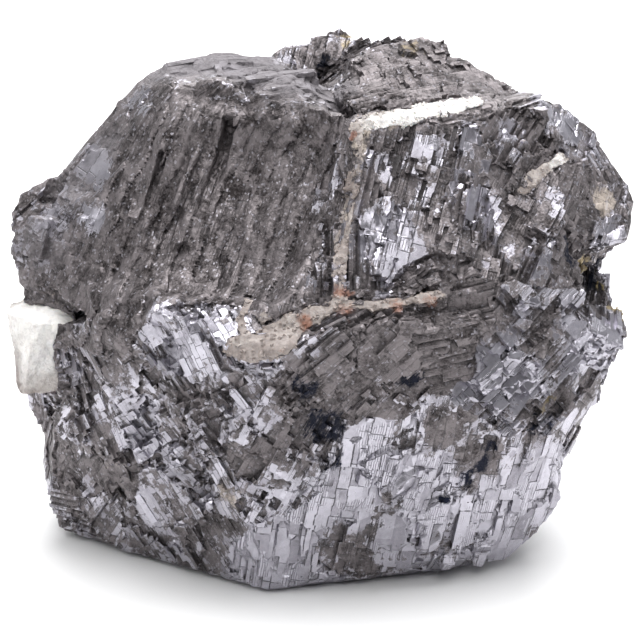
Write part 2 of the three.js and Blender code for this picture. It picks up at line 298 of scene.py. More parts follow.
# %% The crystal grains
GRAIN_KEYS = ("middle", "size", "facing", "along", "brick", "ragged", "deep", "clean")
GRAIN_ROWS = {  # the values in the order of the keys above
    "big cleavage face": ((12, -20.5, 13), 17, (0.22, -0.97, -0.1), (0.14, 0.05, 0.98),
        (10.8, 2.3, 0.79), 0.15, 0.2, 0.8),
    "stair under the right ridge": ((25, -20, 30), 10, (0.3, -0.8, 0.52), (0.62, 0.6, 0.5),
        (5.4, 2.1, 0.94), 0.3, 0.5, 0.66),
    "middle slabs": ((11, -15.5, 48), 12, (0.05, -0.86, 0.5), (0.24, 0.5, 0.83),
        (9, 2.3, 0.86), 0.21, 0.37, 0.36),
    "right slabs": ((28, -9, 49), 10, (0.25, -0.82, 0.52), (0.45, 0.58, 0.68),
        (6, 2.1, 0.86), 0.24, 0.37, 0.28),
    "front shoulder": ((6, -25, 31), 9, (-0.15, -0.9, 0.4), (0.75, 0.2, 0.62),
        (4.8, 1.9, 0.94), 0.27, 0.3, 0.35),
    "grey shoulder": ((16, -24.5, 36), 8, (0.1, -0.72, 0.68), (0.95, 0, 0.2),
        (6, 1.7, 0.79), 0.24, 0.22, 0.1),
    "feathered ridge": ((-15, -20, 31), 8, (-0.45, -0.8, 0.4), (-0.5, 0.1, 0.86),
        (6, 1.4, 0.79), 0.24, 0.26, 0.6),
    "front nose": ((-4, -22.5, 20), 8, (-0.05, -0.97, 0.22), (0.5, 0.1, 0.86),
        (4.8, 1.7, 0.86), 0.27, 0.3, 0.5),
    "left knobs": ((-22, -12, 15), 11, (-0.35, -0.9, 0.25), (-0.5, 0.2, 0.84),
        (3, 1.4, 0.8), 0.21, 0.26, 0.5),
    "left foot": ((-30, -4, 11), 9, (-0.62, -0.75, 0.2), (0.6, -0.3, 0.74),
        (3.4, 1.6, 0.9), 0.21, 0.18, 0.5),
    "left rim": ((-33, 0, 42), 9, (-0.5, -0.8, 0.32), (0.3, 0.2, 0.93),
        (4.8, 2.1, 1.08), 0.12, 0.1, 0.3),
    "shoulder rim": ((-25, 5, 54), 9, (-0.45, -0.6, 0.66), (0.6, 0.3, 0.74),
        (4.8, 1.9, 0.94), 0.12, 0.12, 0.35),
    "ribs in the hollow": ((-14, -9, 48), 15, (0.25, -0.72, 0.65), (0.3, 0.72, 0.62),
        (12, 1.2, 0.7), 0.06, 0.05, 0.16),
    "crown blocks": ((13, 0, 61), 9, (0.1, -0.75, 0.65), (0.9, 0.3, 0.3),
        (2.8, 1.4, 0.8), 0.21, 0.16, 0.16),
    "flat top": ((-9, 6, 62), 11, (-0.05, -0.12, 0.99), (0.95, 0.3, 0),
        (9.6, 2.8, 0.7), 0.15, 0.14, 0.3),
    "back knob": ((0, 18, 62), 6, (-0.2, -0.6, 0.77), (0.8, 0.5, 0.3),
        (4.1, 1.7, 1.01), 0.12, 0.12, 0.15),
    "top right corner": ((31, 0, 57), 6.5, (0.4, -0.72, 0.56), (0.5, 0.6, 0.62),
        (6, 2.4, 0.94), 0.15, 0.2, 0.28),
    "right end": ((38, 2, 47), 8, (0.93, -0.3, 0.22), (0.2, 0.5, 0.84),
        (9.6, 3.6, 0.79), 0.12, 0.16, 0.42),
    "lower right end": ((35, -4, 26), 10, (0.85, -0.5, -0.15), (0.3, 0.5, 0.8),
        (7.2, 2.4, 1.08), 0.24, 0.26, 0.5),
    "back left": ((-22, 20, 38), 15, (-0.5, 0.8, 0.33), (0.4, 0.1, 0.9),
        (9.6, 2.8, 1.15), 0.24, 0.42, 0.45),
    "back right": ((18, 24, 34), 16, (0.25, 0.95, 0.1), (0.8, -0.2, 0.55),
        (10.8, 3.6, 1.08), 0.21, 0.42, 0.6),
    "back foot": ((-4, 24, 12), 14, (-0.1, 0.92, -0.36), (0.3, 0.3, 0.9),
        (7.2, 2.4, 1.08), 0.24, 0.42, 0.35),
    "back top": ((6, 20, 56), 11, (0.05, 0.65, 0.76), (0.9, 0, 0.3),
        (6, 2.3, 1.01), 0.24, 0.42, 0.3),
}
MORE = {  # what a few grains have besides
    "big cleavage face": dict(loose=0.35),
    "stair under the right ridge": dict(follow=0.35),
    "right slabs": dict(follow=0.7),
    "front shoulder": dict(fine=1.8),
    "grey shoulder": dict(fine=1.6),
    "feathered ridge": dict(fine=2.4),
    "front nose": dict(fine=2.2),
    "left knobs": dict(fine=2.2),
    "left foot": dict(fine=2),
    "left rim": dict(fine=1.6),
    "ribs in the hollow": dict(loose=0.5, follow=0.7),
    "crown blocks": dict(follow=0.6, fine=2),
    "back knob": dict(fine=2),
}
GRAINS = {name: dict(zip(GRAIN_KEYS, row), **MORE.get(name, {})) for name, row in GRAIN_ROWS.items()}
print(len(GRAINS), "grains")


def grain_axes(grain):
    """The grain's crystal directions as columns: along its ledges, across them, out of its faces."""
    out = Vector(grain["facing"]).normalized()
    across = out.cross(Vector(grain["along"])).normalized()
    along = across.cross(out)
    return np.array([along, across, out], np.float32).T


ALL_GRAINS = list(GRAINS.values())
GRAIN_MIDDLES = np.array([grain["middle"] for grain in ALL_GRAINS], np.float32)
GRAIN_SIZES = np.array([grain["size"] for grain in ALL_GRAINS], np.float32)
BORDER_SWAY, BORDER_WAVE = 2.2, 5.0  # millimetres that a grain's border strays, and the length of its waves


def wavering(points, sway, size, seed):
    """The points, pushed about by a soft noise, which makes a border between regions waver."""
    return points + np.stack([sway * smooth_noise(points, size, seed + i) for i in range(3)], 1)


def nearest_grain(points):
    """The number of the grain that each point belongs to."""
    moved = wavering(points, BORDER_SWAY, BORDER_WAVE, 1)
    best = np.full(len(points), 1e9, np.float32)
    number = np.zeros(len(points), np.int32)
    for i in range(len(GRAINS)):
        away = np.linalg.norm(moved - GRAIN_MIDDLES[i], axis=1) / GRAIN_SIZES[i]
        closer = away < best
        best[closer] = away[closer]
        number[closer] = i
    return number


# %% [markdown]
# A grain isn't one perfect crystal either. It is a mosaic of chips a few millimetres across, each turned
# by some degrees against the others. The chips are scattered through the grain at random, and each takes
# the points that are nearest to it. A chip lies partly as its grain says and partly along the surface
# under it, so that broad faces stay smooth and only the places between them break into stairs.

# %% The chips within a grain
CHIP = 4.68  # millimetres at least between the middles of chips
CHIP_DEPTH = (-3.0, 0.5)  # millimetres from the surface between which chips have their middles
CHIP_TRIES = 2600
CHIP_SWAY, CHIP_WAVE = 0.9, 2.6  # millimetres that a chip's border strays, and the length of its waves
FOLLOW = 0.75  # how far a chip's faces lie along the surface under it, from 0 to 1
TURN = 8.0  # degrees that a chip is turned by at most, less in a grain that is one large crystal
# The largest smooth faces, pointed at in the picture.
MIRRORS = [(398, 240), (566, 124), (524, 384), (452, 368), (345, 492), (430, 480), (530, 474),
           (520, 540), (240, 66), (610, 236), (190, 350), (165, 500)]
dice = np.random.default_rng(7)
low, high = (np.array(corner) / MM for corner in cad_box)
spots = dice.uniform(low, high, (CHIP_TRIES, 3)).astype(np.float32)
depth = look_up(solid["galena_mass"], low_corner, STONE_GRID, spots)
spots = spots[(depth > CHIP_DEPTH[0]) & (depth < CHIP_DEPTH[1])]
chips = [touched(*place) for place in MIRRORS]
for spot in spots:
    if all(np.linalg.norm(spot - chip) > CHIP for chip in chips):
        chips.append(spot)
CHIP_MIDDLES = np.array(chips)
CHIP_GRAINS = nearest_grain(CHIP_MIDDLES)


def way_out(points, reach=1.6):
    """The direction straight out of the lump at each point."""
    slope = [look_up(solid["galena_mass"], low_corner, STONE_GRID, points + side)
             - look_up(solid["galena_mass"], low_corner, STONE_GRID, points - side)
             for side in np.eye(3, dtype=np.float32) * reach]
    slope = np.stack(slope, 1)
    return slope / np.maximum(np.linalg.norm(slope, axis=1), 1e-6)[:, None]


CHIP_AXES = []
for number, straight_out in zip(CHIP_GRAINS, way_out(CHIP_MIDDLES)):
    grain = ALL_GRAINS[number]
    lean = FOLLOW * grain.get("follow", 1.0)
    facing = Vector(grain["facing"]).normalized() * (1 - lean)
    facing += Vector(straight_out.tolist()) * lean
    most = math.radians(TURN) * grain.get("loose", 1.0)
    turn = Matrix.Rotation(dice.uniform(-most, most), 3, Vector(dice.normal(size=3)).normalized())
    CHIP_AXES.append(np.array(turn, np.float32) @ grain_axes(dict(grain, facing=facing)))
CHIP_AXES = np.array(CHIP_AXES)
CHIP_SCALE = np.exp(dice.uniform(-0.55, 0.55, (len(chips), 1)))  # size of its bricks against the grain's
CHIP_SCALE = CHIP_SCALE * np.exp(dice.uniform(-0.25, 0.25, (len(chips), 3)))
CHIP_ROUGH = dice.uniform(0.25, 1.35, len(chips))  # share of the grain's raggedness
CHIP_SCALE[:len(MIRRORS)] = 2.0
CHIP_ROUGH[:len(MIRRORS)] = 0.1
print(len(chips), "chips, seconds", round(time.time() - started, 1))


def nearest_chip(points):
    """The number of the chip that each point belongs to, among the chips of its grain."""
    grain = nearest_grain(points)
    moved = wavering(points, CHIP_SWAY, CHIP_WAVE, 11)
    number = np.zeros(len(points), np.int32)
    for i in range(len(GRAINS)):
        mine = np.flatnonzero(grain == i)
        own = np.flatnonzero(CHIP_GRAINS == i)
        best = np.full(len(mine), 1e9, np.float32)
        for j in own:
            away = np.linalg.norm(moved[mine] - CHIP_MIDDLES[j], axis=1)
            closer = away < best
            best[closer] = away[closer]
            number[mine[closer]] = j
    return number


# %% [markdown]
# ## Growing the cleavage steps
#
# Inside a grain the crystal is cut into layers, each layer into strips, and each strip into bricks, all of
# uneven width. A brick stays if its middle lies inside the measured solid, give or take a little chance,
# and breaks off otherwise. The distance to the stepped surface is then the distance to the nearest wall of
# a brick whose neighbour differs from it. Doing this twice, with large and then with small bricks, gives
# terraces with fine stairs along their edges, as real cleavage has.

# %% Cutting a grain into bricks
WALL_SHIFT = 0.38  # how far a wall strays from an even spacing, as a share of the spacing
FAR = 0.7  # millimetres, as good as nowhere near a wall
LEAST_BRICK = np.array((1.2, 0.8, 0.5), np.float32)  # mm, about twice the grid spacing at the thinnest
JUST_PAST = 0.01  # millimetres past a wall, where the next brick is asked for
SNAP = 0.95  # a mesh corner this near to a wall, in grid spacings, belongs on it
OUT_SHARE = 0.8  # how far steps may stand out, as a share of how far they may cut in
FIRM = 0.26  # millimetres of depth from which the steps of a grain are quite sharp


def walls(coordinate, spacing, *address):
    """The number of the slice that each coordinate is in, and the slice's two walls."""
    number = np.floor(coordinate / spacing).astype(np.int32)

    def wall(i):
        return (i + WALL_SHIFT * (2 * scrambled(i, *address) - 1)) * spacing

    number = number - (coordinate < wall(number)) + (coordinate >= wall(number + 1))
    return number, wall(number), wall(number + 1)


def brick_at(place, brick, seed):
    """The walls of the brick round each place, in crystal coordinates, and the brick's random number."""
    layer, low_w, high_w = walls(place[:, 2], brick[2], seed)
    strip, low_v, high_v = walls(place[:, 1], brick[1], seed + 1, layer)
    piece, low_u, high_u = walls(place[:, 0], brick[0], seed + 2, layer, strip)
    low = np.stack([low_u, low_v, low_w], 1)
    high = np.stack([high_u, high_v, high_w], 1)
    return low, high, scrambled(layer, strip, piece, seed + 3)


def broken_walls(field, points, chip, brick, seed):
    """Which points are inside a brick that stayed, and where the nearest broken wall is along each axis."""
    middle, axes = CHIP_MIDDLES[chip], CHIP_AXES[chip]
    ragged = ALL_GRAINS[CHIP_GRAINS[chip]]["ragged"] * CHIP_ROUGH[chip] * brick[2] * 1.3
    place = (points - middle) @ axes

    def stays(at):
        low_wall, high_wall, luck = brick_at(at, brick, seed)
        centre = (low_wall + high_wall) / 2 @ axes.T + middle
        uneven = ragged * (luck - 0.5)
        return look_up(field, low_corner, STONE_GRID, centre) + uneven < 0, low_wall, high_wall

    inside, low_wall, high_wall = stays(place)
    gap = np.full(place.shape, FAR, np.float32)
    wall_at = place.copy()
    for axis in range(3):
        for side, wall in ((-1, low_wall), (1, high_wall)):
            away = np.abs(wall[:, axis] - place[:, axis])
            close = np.flatnonzero(away < FAR)
            beyond = place[close]
            beyond[:, axis] = wall[close, axis] + side * JUST_PAST
            differs = (stays(beyond)[0] != inside[close]) & (away[close] < gap[close, axis])
            gap[close[differs], axis] = away[close[differs]]
            wall_at[close[differs], axis] = wall[close[differs], axis]
    return inside, gap, place, wall_at


def for_each_chip(work, points, scale):
    """Calls work on the points of each chip, several chips at a time."""
    at = np.round(points / STONE_GRID - low_corner).astype(np.int32)
    at = np.clip(at, 0, np.array(chip_grid.shape) - 1)
    number = chip_grid[at[:, 0], at[:, 1], at[:, 2]]
    order = np.argsort(number, kind="stable")
    starts = np.searchsorted(number[order], np.arange(len(CHIP_MIDDLES) + 1))

    def one(chip):
        mine = order[starts[chip]:starts[chip + 1]]
        brick = ALL_GRAINS[CHIP_GRAINS[chip]]["brick"] * CHIP_SCALE[chip]
        brick = brick.astype(np.float32)
        if len(mine):
            work(mine, chip, np.maximum(brick * scale, LEAST_BRICK))

    with ThreadPoolExecutor(WORKERS) as workers:
        list(workers.map(one, range(len(CHIP_MIDDLES))))


# %% [markdown]
# The two functions below use the bricks. The first works on the distance field, and gives the steps. The
# second works later on the finished mesh: a grid rounds every edge off a little, so each mesh corner close
# to a brick wall is moved onto it. Where a grain has shallow steps it's moved only part of the way, which
# leaves them soft.

# %% Stepping the field and snapping the mesh
def stepped(field, points, near, scale, seed):
    """New distances at points near the surface, after the bricks of that scale have broken off."""
    made = near.copy()

    def work(mine, chip, brick):
        inside, gap, _, _ = broken_walls(field, points[mine], chip, brick, seed + 10 * chip)
        distance = gap.min(1)
        distance = np.where(inside, -distance, distance)
        limit = ALL_GRAINS[CHIP_GRAINS[chip]]["deep"] * scale ** 0.5
        made[mine] = np.maximum(np.minimum(distance, near[mine] + limit), near[mine] - OUT_SHARE * limit)

    for_each_chip(work, points, scale)
    return made


def snapped(field, points, scale, seed):
    """Mesh corners moved onto the brick walls close by, which makes faces flat and edges sharp."""
    moved = points.copy()

    def work(mine, chip, brick):
        _, gap, place, wall_at = broken_walls(field, points[mine], chip, brick, seed + 10 * chip)
        firm = min(1.0, ALL_GRAINS[CHIP_GRAINS[chip]]["deep"] / FIRM)
        place = place + firm * np.where(gap < SNAP * STONE_GRID, wall_at - place, 0)
        moved[mine] = place @ CHIP_AXES[chip].T + CHIP_MIDDLES[chip]

    for_each_chip(work, points, scale)
    return moved


# %% [markdown]
# ## Cracks, clefts and ribs
#
# Before the bricks break off, the smooth lump gets the larger marks that the picture shows. A soft noise
# makes the steps gather in patches, the hollow at the upper left gets its long parallel ribs, and each
# named mark is carved along its path: a cleft is narrow and deep, a groove wide and shallow.

# %% Cracks, clefts and ribs
MARKS = {  # path in the picture, half width in mm, depth in mm (below zero it's raised)
    "shadow over the crossing vein": ([(350, 117), (400, 106), (476, 96)], 0.8, 0.9),
    "step right of the middle slabs": ([(447, 205), (440, 255), (452, 300)], 0.6, 0.8),
    "crack in the mirror": ([(378, 212), (384, 232), (368, 246), (360, 264)], 0.35, 0.7),
    "crack left of the upright vein": ([(332, 150), (324, 220), (318, 290)], 0.7, 0.7),
    "shadow under the slabs": ([(360, 306), (420, 312), (480, 306), (556, 318)], 0.9, 0.8),
    "cleft right of the band": ([(492, 322), (520, 338), (566, 346)], 0.7, 0.9),
    "upper edge of the big face": ([(326, 462), (366, 436), (398, 408)], 0.9, 0.35),
    "crack among the left knobs": ([(128, 474), (158, 456), (176, 466)], 0.6, 0.9),
    "lower crack among the left knobs": ([(70, 470), (120, 520), (190, 545)], 0.8, 0.8),
    "gap under the back knob": ([(294, 66), (318, 62), (348, 78)], 1.5, 1.8),
    "edge under the flat top": ([(178, 90), (250, 104), (300, 112), (345, 134)], 1.1, 0.8),
    "slot in the middle slabs": ([(455, 132), (451, 165), (449, 202)], 0.6, 1.5),
    "lower slot in the middle slabs": ([(466, 232), (461, 272)], 0.6, 1.5),
    "slot in the right slabs": ([(503, 118), (499, 150)], 0.6, 1.4),
    "cleft in the big face": ([(490, 440), (482, 472), (458, 486), (432, 500)], 0.9, 2.0),
    "crack over the stair": ([(388, 402), (428, 379), (470, 388)], 0.8, 0.7),
    "groove under the top right corner": ([(508, 130), (545, 139), (577, 152)], 1.0, 1.0),
    "inside of the notch": ([(578, 256), (600, 272), (625, 280)], 2.2, 1.6),
    "hollow under the vein": ([(250, 380), (262, 430), (255, 470)], 1.6, 0.8),
    "furrow left of the ridge": ([(120, 318), (150, 360), (150, 420)], 1.8, 0.9),
    "feathered ridge": ([(160, 312), (195, 345), (232, 395)], 1.6, -0.9),
    "rim of the hollow": ([(60, 282), (110, 296), (170, 304)], 1.6, -0.7),
}
print(len(MARKS), "marks")

# %% [markdown]
# The veins were measured with a thin slit round them, as bodies of their own. The stone closes it first:
# the vein, sunk a little into the lump and made a little wider, is joined to the lump, and so is a small
# collar where the calcite block meets the rim. The calcite is cut out again further down, once the steps
# have grown.

# %% Closing the slits and carving the marks
PATCHES = ((4.6, 0.34), (1.9, 0.16))  # size and height in mm of the soft noise
NEAR_VEIN = 3.0  # millimetres from a vein within which its slit is looked for
STEP_BAND = 1.5  # millimetres on each side of the surface in which steps grow
MOST_CARVED = 0.6  # millimetres more in which a mark may be carved
INWARD = np.array((0, 0.82, -0.57), np.float32)  # the way that the veins run into the lump
SINK, CLOSE = 0.8, 0.36  # millimetres: the vein, sunk and widened this much, closes the slit round it
COLLAR = 0.55  # millimetres that the ore climbs up the calcite block where they meet
MARK_END = 1.7  # a mark is gone at this many of its half widths
RIB, RIB_DEPTH = 2.3, 0.55  # millimetres between ribs, and their depth
RIB_TOP, RIB_SLOPE = 0.3, 0.7  # where a rib's bottom lies in its period, and how much of it rises
RIB_BENDS = ((7.0, 1.3, 51), (2.5, 0.5, 52))  # size and reach in mm of the noises that bend them, and seeds

smooth_lump = solid["galena_mass"].copy()
for name in CALCITE[:2]:
    index = np.nonzero(np.abs(solid[name]) < NEAR_VEIN)
    sunken = grid_points(low_corner, STONE_GRID, index) - INWARD * SINK
    filling = look_up(solid[name], low_corner, STONE_GRID, sunken) - CLOSE
    smooth_lump[index] = np.minimum(smooth_lump[index], filling)
collar = np.maximum(solid["calcite_block"], solid["galena_mass"]) - COLLAR
smooth_lump = np.minimum(smooth_lump, collar)
index = np.nonzero(np.abs(smooth_lump) < STEP_BAND + MOST_CARVED)
points = grid_points(low_corner, STONE_GRID, index)
chip_grid = np.zeros(smooth_lump.shape, np.int16)
chip_grid[index] = in_parts(nearest_chip, points)
print("chips found, points", len(points), "seconds", round(time.time() - started, 1))

relief = np.zeros(len(points), np.float32)
for seed, (size, height) in enumerate(PATCHES):
    relief += height * in_parts(lambda part: smooth_noise(part, size, 40 + seed), points)
hollow = "ribs in the hollow"  # the grain that has ribs
ribbed = np.flatnonzero(CHIP_GRAINS[chip_grid[index]] == list(GRAINS).index(hollow))
rib_place = points[ribbed] @ grain_axes(GRAINS[hollow])
bent = sum(reach * smooth_noise(points[ribbed], size, seed) for size, reach, seed in RIB_BENDS)
saw = (rib_place[:, 1] + bent) / RIB % 1.0
relief[ribbed] = relief[ribbed] / 2 + RIB_DEPTH * (np.abs(saw - RIB_TOP) / RIB_SLOPE - 0.4)
for name, (path, wide, deep) in MARKS.items():
    route = traced(path)
    nearby = (points > route.min(0) - 2 * wide) & (points < route.max(0) + 2 * wide)
    close = np.flatnonzero(nearby.all(1))
    share = np.clip(1 - away_from_path(points[close], route) / (MARK_END * wide), 0, 1)
    relief[close] += deep * share * share * (3 - 2 * share)
calm = np.clip(solid["calcite_vein"][index] / 1.5, 0, 1)  # the relief fades out beside the vein
calm = calm * np.clip(points[:, 2] / 3 - 0.3, 0, 1)  # and towards the foot
shaped = smooth_lump.copy()
shaped[index] += relief * calm
print("marks made, seconds", round(time.time() - started, 1))

# %% [markdown]
# Now the steps grow, first large and then small. The foot that the lump rests on stays smooth and flat.

# %% Growing the steps on the lump
FOOT = 1.2  # millimetres above the floor over which the steps fade in
LARGE, SMALL = (1.0, 100), (0.45, 5000)  # scale of the bricks, and the seed of their chance


def above_foot(points):
    """0 at the foot that the lump rests on, 1 a little above it."""
    return np.clip(points[:, 2] / FOOT - 0.25, 0, 1)


fields = [shaped]
for (scale, seed), band in ((LARGE, STEP_BAND), (SMALL, FAR * 0.99)):
    field = fields[-1]
    index = np.nonzero(np.abs(field) < band)
    points = grid_points(low_corner, STONE_GRID, index)
    near = field[index]
    made = stepped(field, points, near, scale, seed)
    grown = field.copy()
    grown[index] = near + (made - near) * above_foot(points)
    fields.append(grown)
    print("scale", scale, "points", len(points), "seconds", round(time.time() - started, 1))
lump = fields[-1]

# %% [markdown]
# ## From field to mesh
#
# OpenVDB walks the zero level of the field and lays a mesh on it. Crumbs that broke loose are dropped, and
# the Decimate modifier then spends the triangles where the shape needs them: few on flat faces, many along
# edges.

# %% Meshes from fields
SHARP = 24  # degrees of bend from which an edge is drawn sharp


def field_mesh(name, field, low, spacing, most_triangles, finish=None):
    """A mesh object on the zero level of a field: its largest body, with at most that many triangles."""
    grid = openvdb.FloatGrid(REACH)
    grid.copyFromArray(np.ascontiguousarray(field), tolerance=0.0)
    points, triangles, quads = grid.convertToPolygons(0.0, 0.0)
    points = ((points + low) * spacing).astype(np.float32)
    if finish:
        points = finish(points)
    mesh = bpy.data.meshes.new(name)
    faces = quads.reshape(-1).astype(np.int32)
    mesh.vertices.add(len(points))
    mesh.vertices.foreach_set("co", (points * MM).reshape(-1))
    mesh.loops.add(len(faces))
    mesh.loops.foreach_set("vertex_index", faces)
    mesh.polygons.add(len(quads))
    mesh.polygons.foreach_set("loop_start", np.arange(0, len(faces), 4, dtype=np.int32))
    mesh.update(calc_edges=True)
    piece = bpy.data.objects.new(name, mesh)
    bpy.context.scene.collection.objects.link(piece)
    keep_largest_body(piece)
    count = 2 * len(mesh.polygons)
    fewer = piece.modifiers.new("fewer", "DECIMATE")
    fewer.ratio = min(1.0, most_triangles / count)
    fewer.use_collapse_triangulate = True
    bake_modifiers(piece)
    piece.data.shade_smooth()
    piece.data.set_sharp_from_angle(angle=math.radians(SHARP))
    print(name, count, "->", len(piece.data.polygons), "triangles, seconds",
          round(time.time() - started, 1))
    return piece


def keep_largest_body(piece):
    """Deletes every part of the mesh that isn't joined to the largest one."""
    mesh = piece.data
    edges = np.empty(len(mesh.edges) * 2, np.int32)
    mesh.edges.foreach_get("vertices", edges)
    edges = edges.reshape(-1, 2)
    label = np.arange(len(mesh.vertices))
    while True:
        least = np.minimum(label[edges[:, 0]], label[edges[:, 1]])
        lower = label.copy()
        np.minimum.at(lower, edges[:, 0], least)
        np.minimum.at(lower, edges[:, 1], least)
        lower = lower[lower]
        lower = lower[lower]
        if np.array_equal(lower, label):
            break
        label = lower
    labels, counts = np.unique(label, return_counts=True)
    loose = label != labels[np.argmax(counts)]
    if loose.any():
        work = bmesh.new()
        work.from_mesh(mesh)
        work.verts.ensure_lookup_table()
        bmesh.ops.delete(work, geom=[work.verts[i] for i in np.flatnonzero(loose)], context="VERTS")
        work.to_mesh(mesh)
        work.free()


def bake_modifiers(piece):
    """Replaces the piece's mesh by what its modifiers make of it."""
    ready = piece.evaluated_get(bpy.context.evaluated_depsgraph_get())
    finished = bpy.data.meshes.new_from_object(ready)
    old = piece.data
    piece.modifiers.clear()
    piece.data = finished
    bpy.data.meshes.remove(old)


def onto_walls(points):
    """The lump's mesh corners, moved onto the walls of the small bricks."""
    moved = snapped(fields[-2], points, *SMALL)
    return points + (moved - points) * above_foot(points)[:, None]


# %% [markdown]
# ## The calcite
#
# The calcite filled cracks in the ore, so it lies nearly flush with the stone around it, and its edges are
# crumbly. Its own field, on a finer grid, is the measured vein with some grainy noise. Where the calcite
# is, the stone is cut away first, so the two meet in one ragged line instead of running through each
# other.

# %% The calcite
VEIN_GRID = 0.17  # millimetres between grid points on the calcite
GRAINY = ((2.2, 0.30), (0.8, 0.22))  # size and height in mm of the calcite's grains
CRUMB, CRUMB_HEIGHT = 0.7, 0.16  # millimetres, the unevenness where the calcite is worn flush
VEIN_MARGIN = 1.6  # millimetres round the calcite in which its field is worked on
PROUD = {"calcite_vein": 0.02, "calcite_veinlet": 0.0, "calcite_block": 9.0}  # mm that it may stand out
SEAT = -0.04  # how far the stone stays away from the calcite, in mm: it's pressed against it
RAISED = 0.05  # the most, in mm, that steps may rise round a vein
BESIDE_VEIN = 1.0  # millimetres from a vein in which steps are held down
UPRIGHT, THINNED = [(357, 150), (350, 190), (340, 280)], 0.06  # the thin arm in the picture, and mm off it


def calcite_field(name):
    """The grainy calcite's lowest grid corner and its field."""
    points, _ = node_triangles(name)
    low = np.floor((points.min(0) - VEIN_MARGIN) / VEIN_GRID).astype(int)
    high = np.ceil((points.max(0) + VEIN_MARGIN) / VEIN_GRID).astype(int)
    field = distance_field(name, low, high, VEIN_GRID)
    index = np.nonzero(np.abs(field) < VEIN_MARGIN)
    places = grid_points(low, VEIN_GRID, index)
    for seed, (size, height) in enumerate(GRAINY):
        field[index] += height * in_parts(lambda part: smooth_noise(part, size, 70 + seed), places)
    flush = look_up(smooth_lump, low_corner, STONE_GRID, places) - PROUD[name]
    flush = flush + CRUMB_HEIGHT * in_parts(lambda part: smooth_noise(part, CRUMB, 77), places)
    field[index] = np.maximum(field[index], flush)
    if name == "calcite_vein":
        field[index] += THINNED * np.clip(1.5 - away_from_path(places, traced(UPRIGHT)) / 2.0, 0, 1)
    return low, field


calcite = {name: calcite_field(name) for name in CALCITE}
for name, (low, field) in calcite.items():
    index = np.nonzero(np.abs(solid[name]) < VEIN_MARGIN)
    places = grid_points(low_corner, STONE_GRID, index)
    if name != "calcite_block":
        capped = np.maximum(lump[index], smooth_lump[index] - RAISED)
        lump[index] = np.where(solid[name][index] < BESIDE_VEIN, capped, lump[index])
    lump[index] = np.maximum(lump[index], SEAT - look_up(field, low, VEIN_GRID, places))
print("calcite fields made, seconds", round(time.time() - started, 1))

stone = field_mesh("galena_lump", lump, low_corner, STONE_GRID, 190000, onto_walls)
vein, veinlet, block = (field_mesh(name + "_grains", calcite[name][1], calcite[name][0], VEIN_GRID, most)
                        for name, most in zip(CALCITE, (60000, 12000, 30000)))
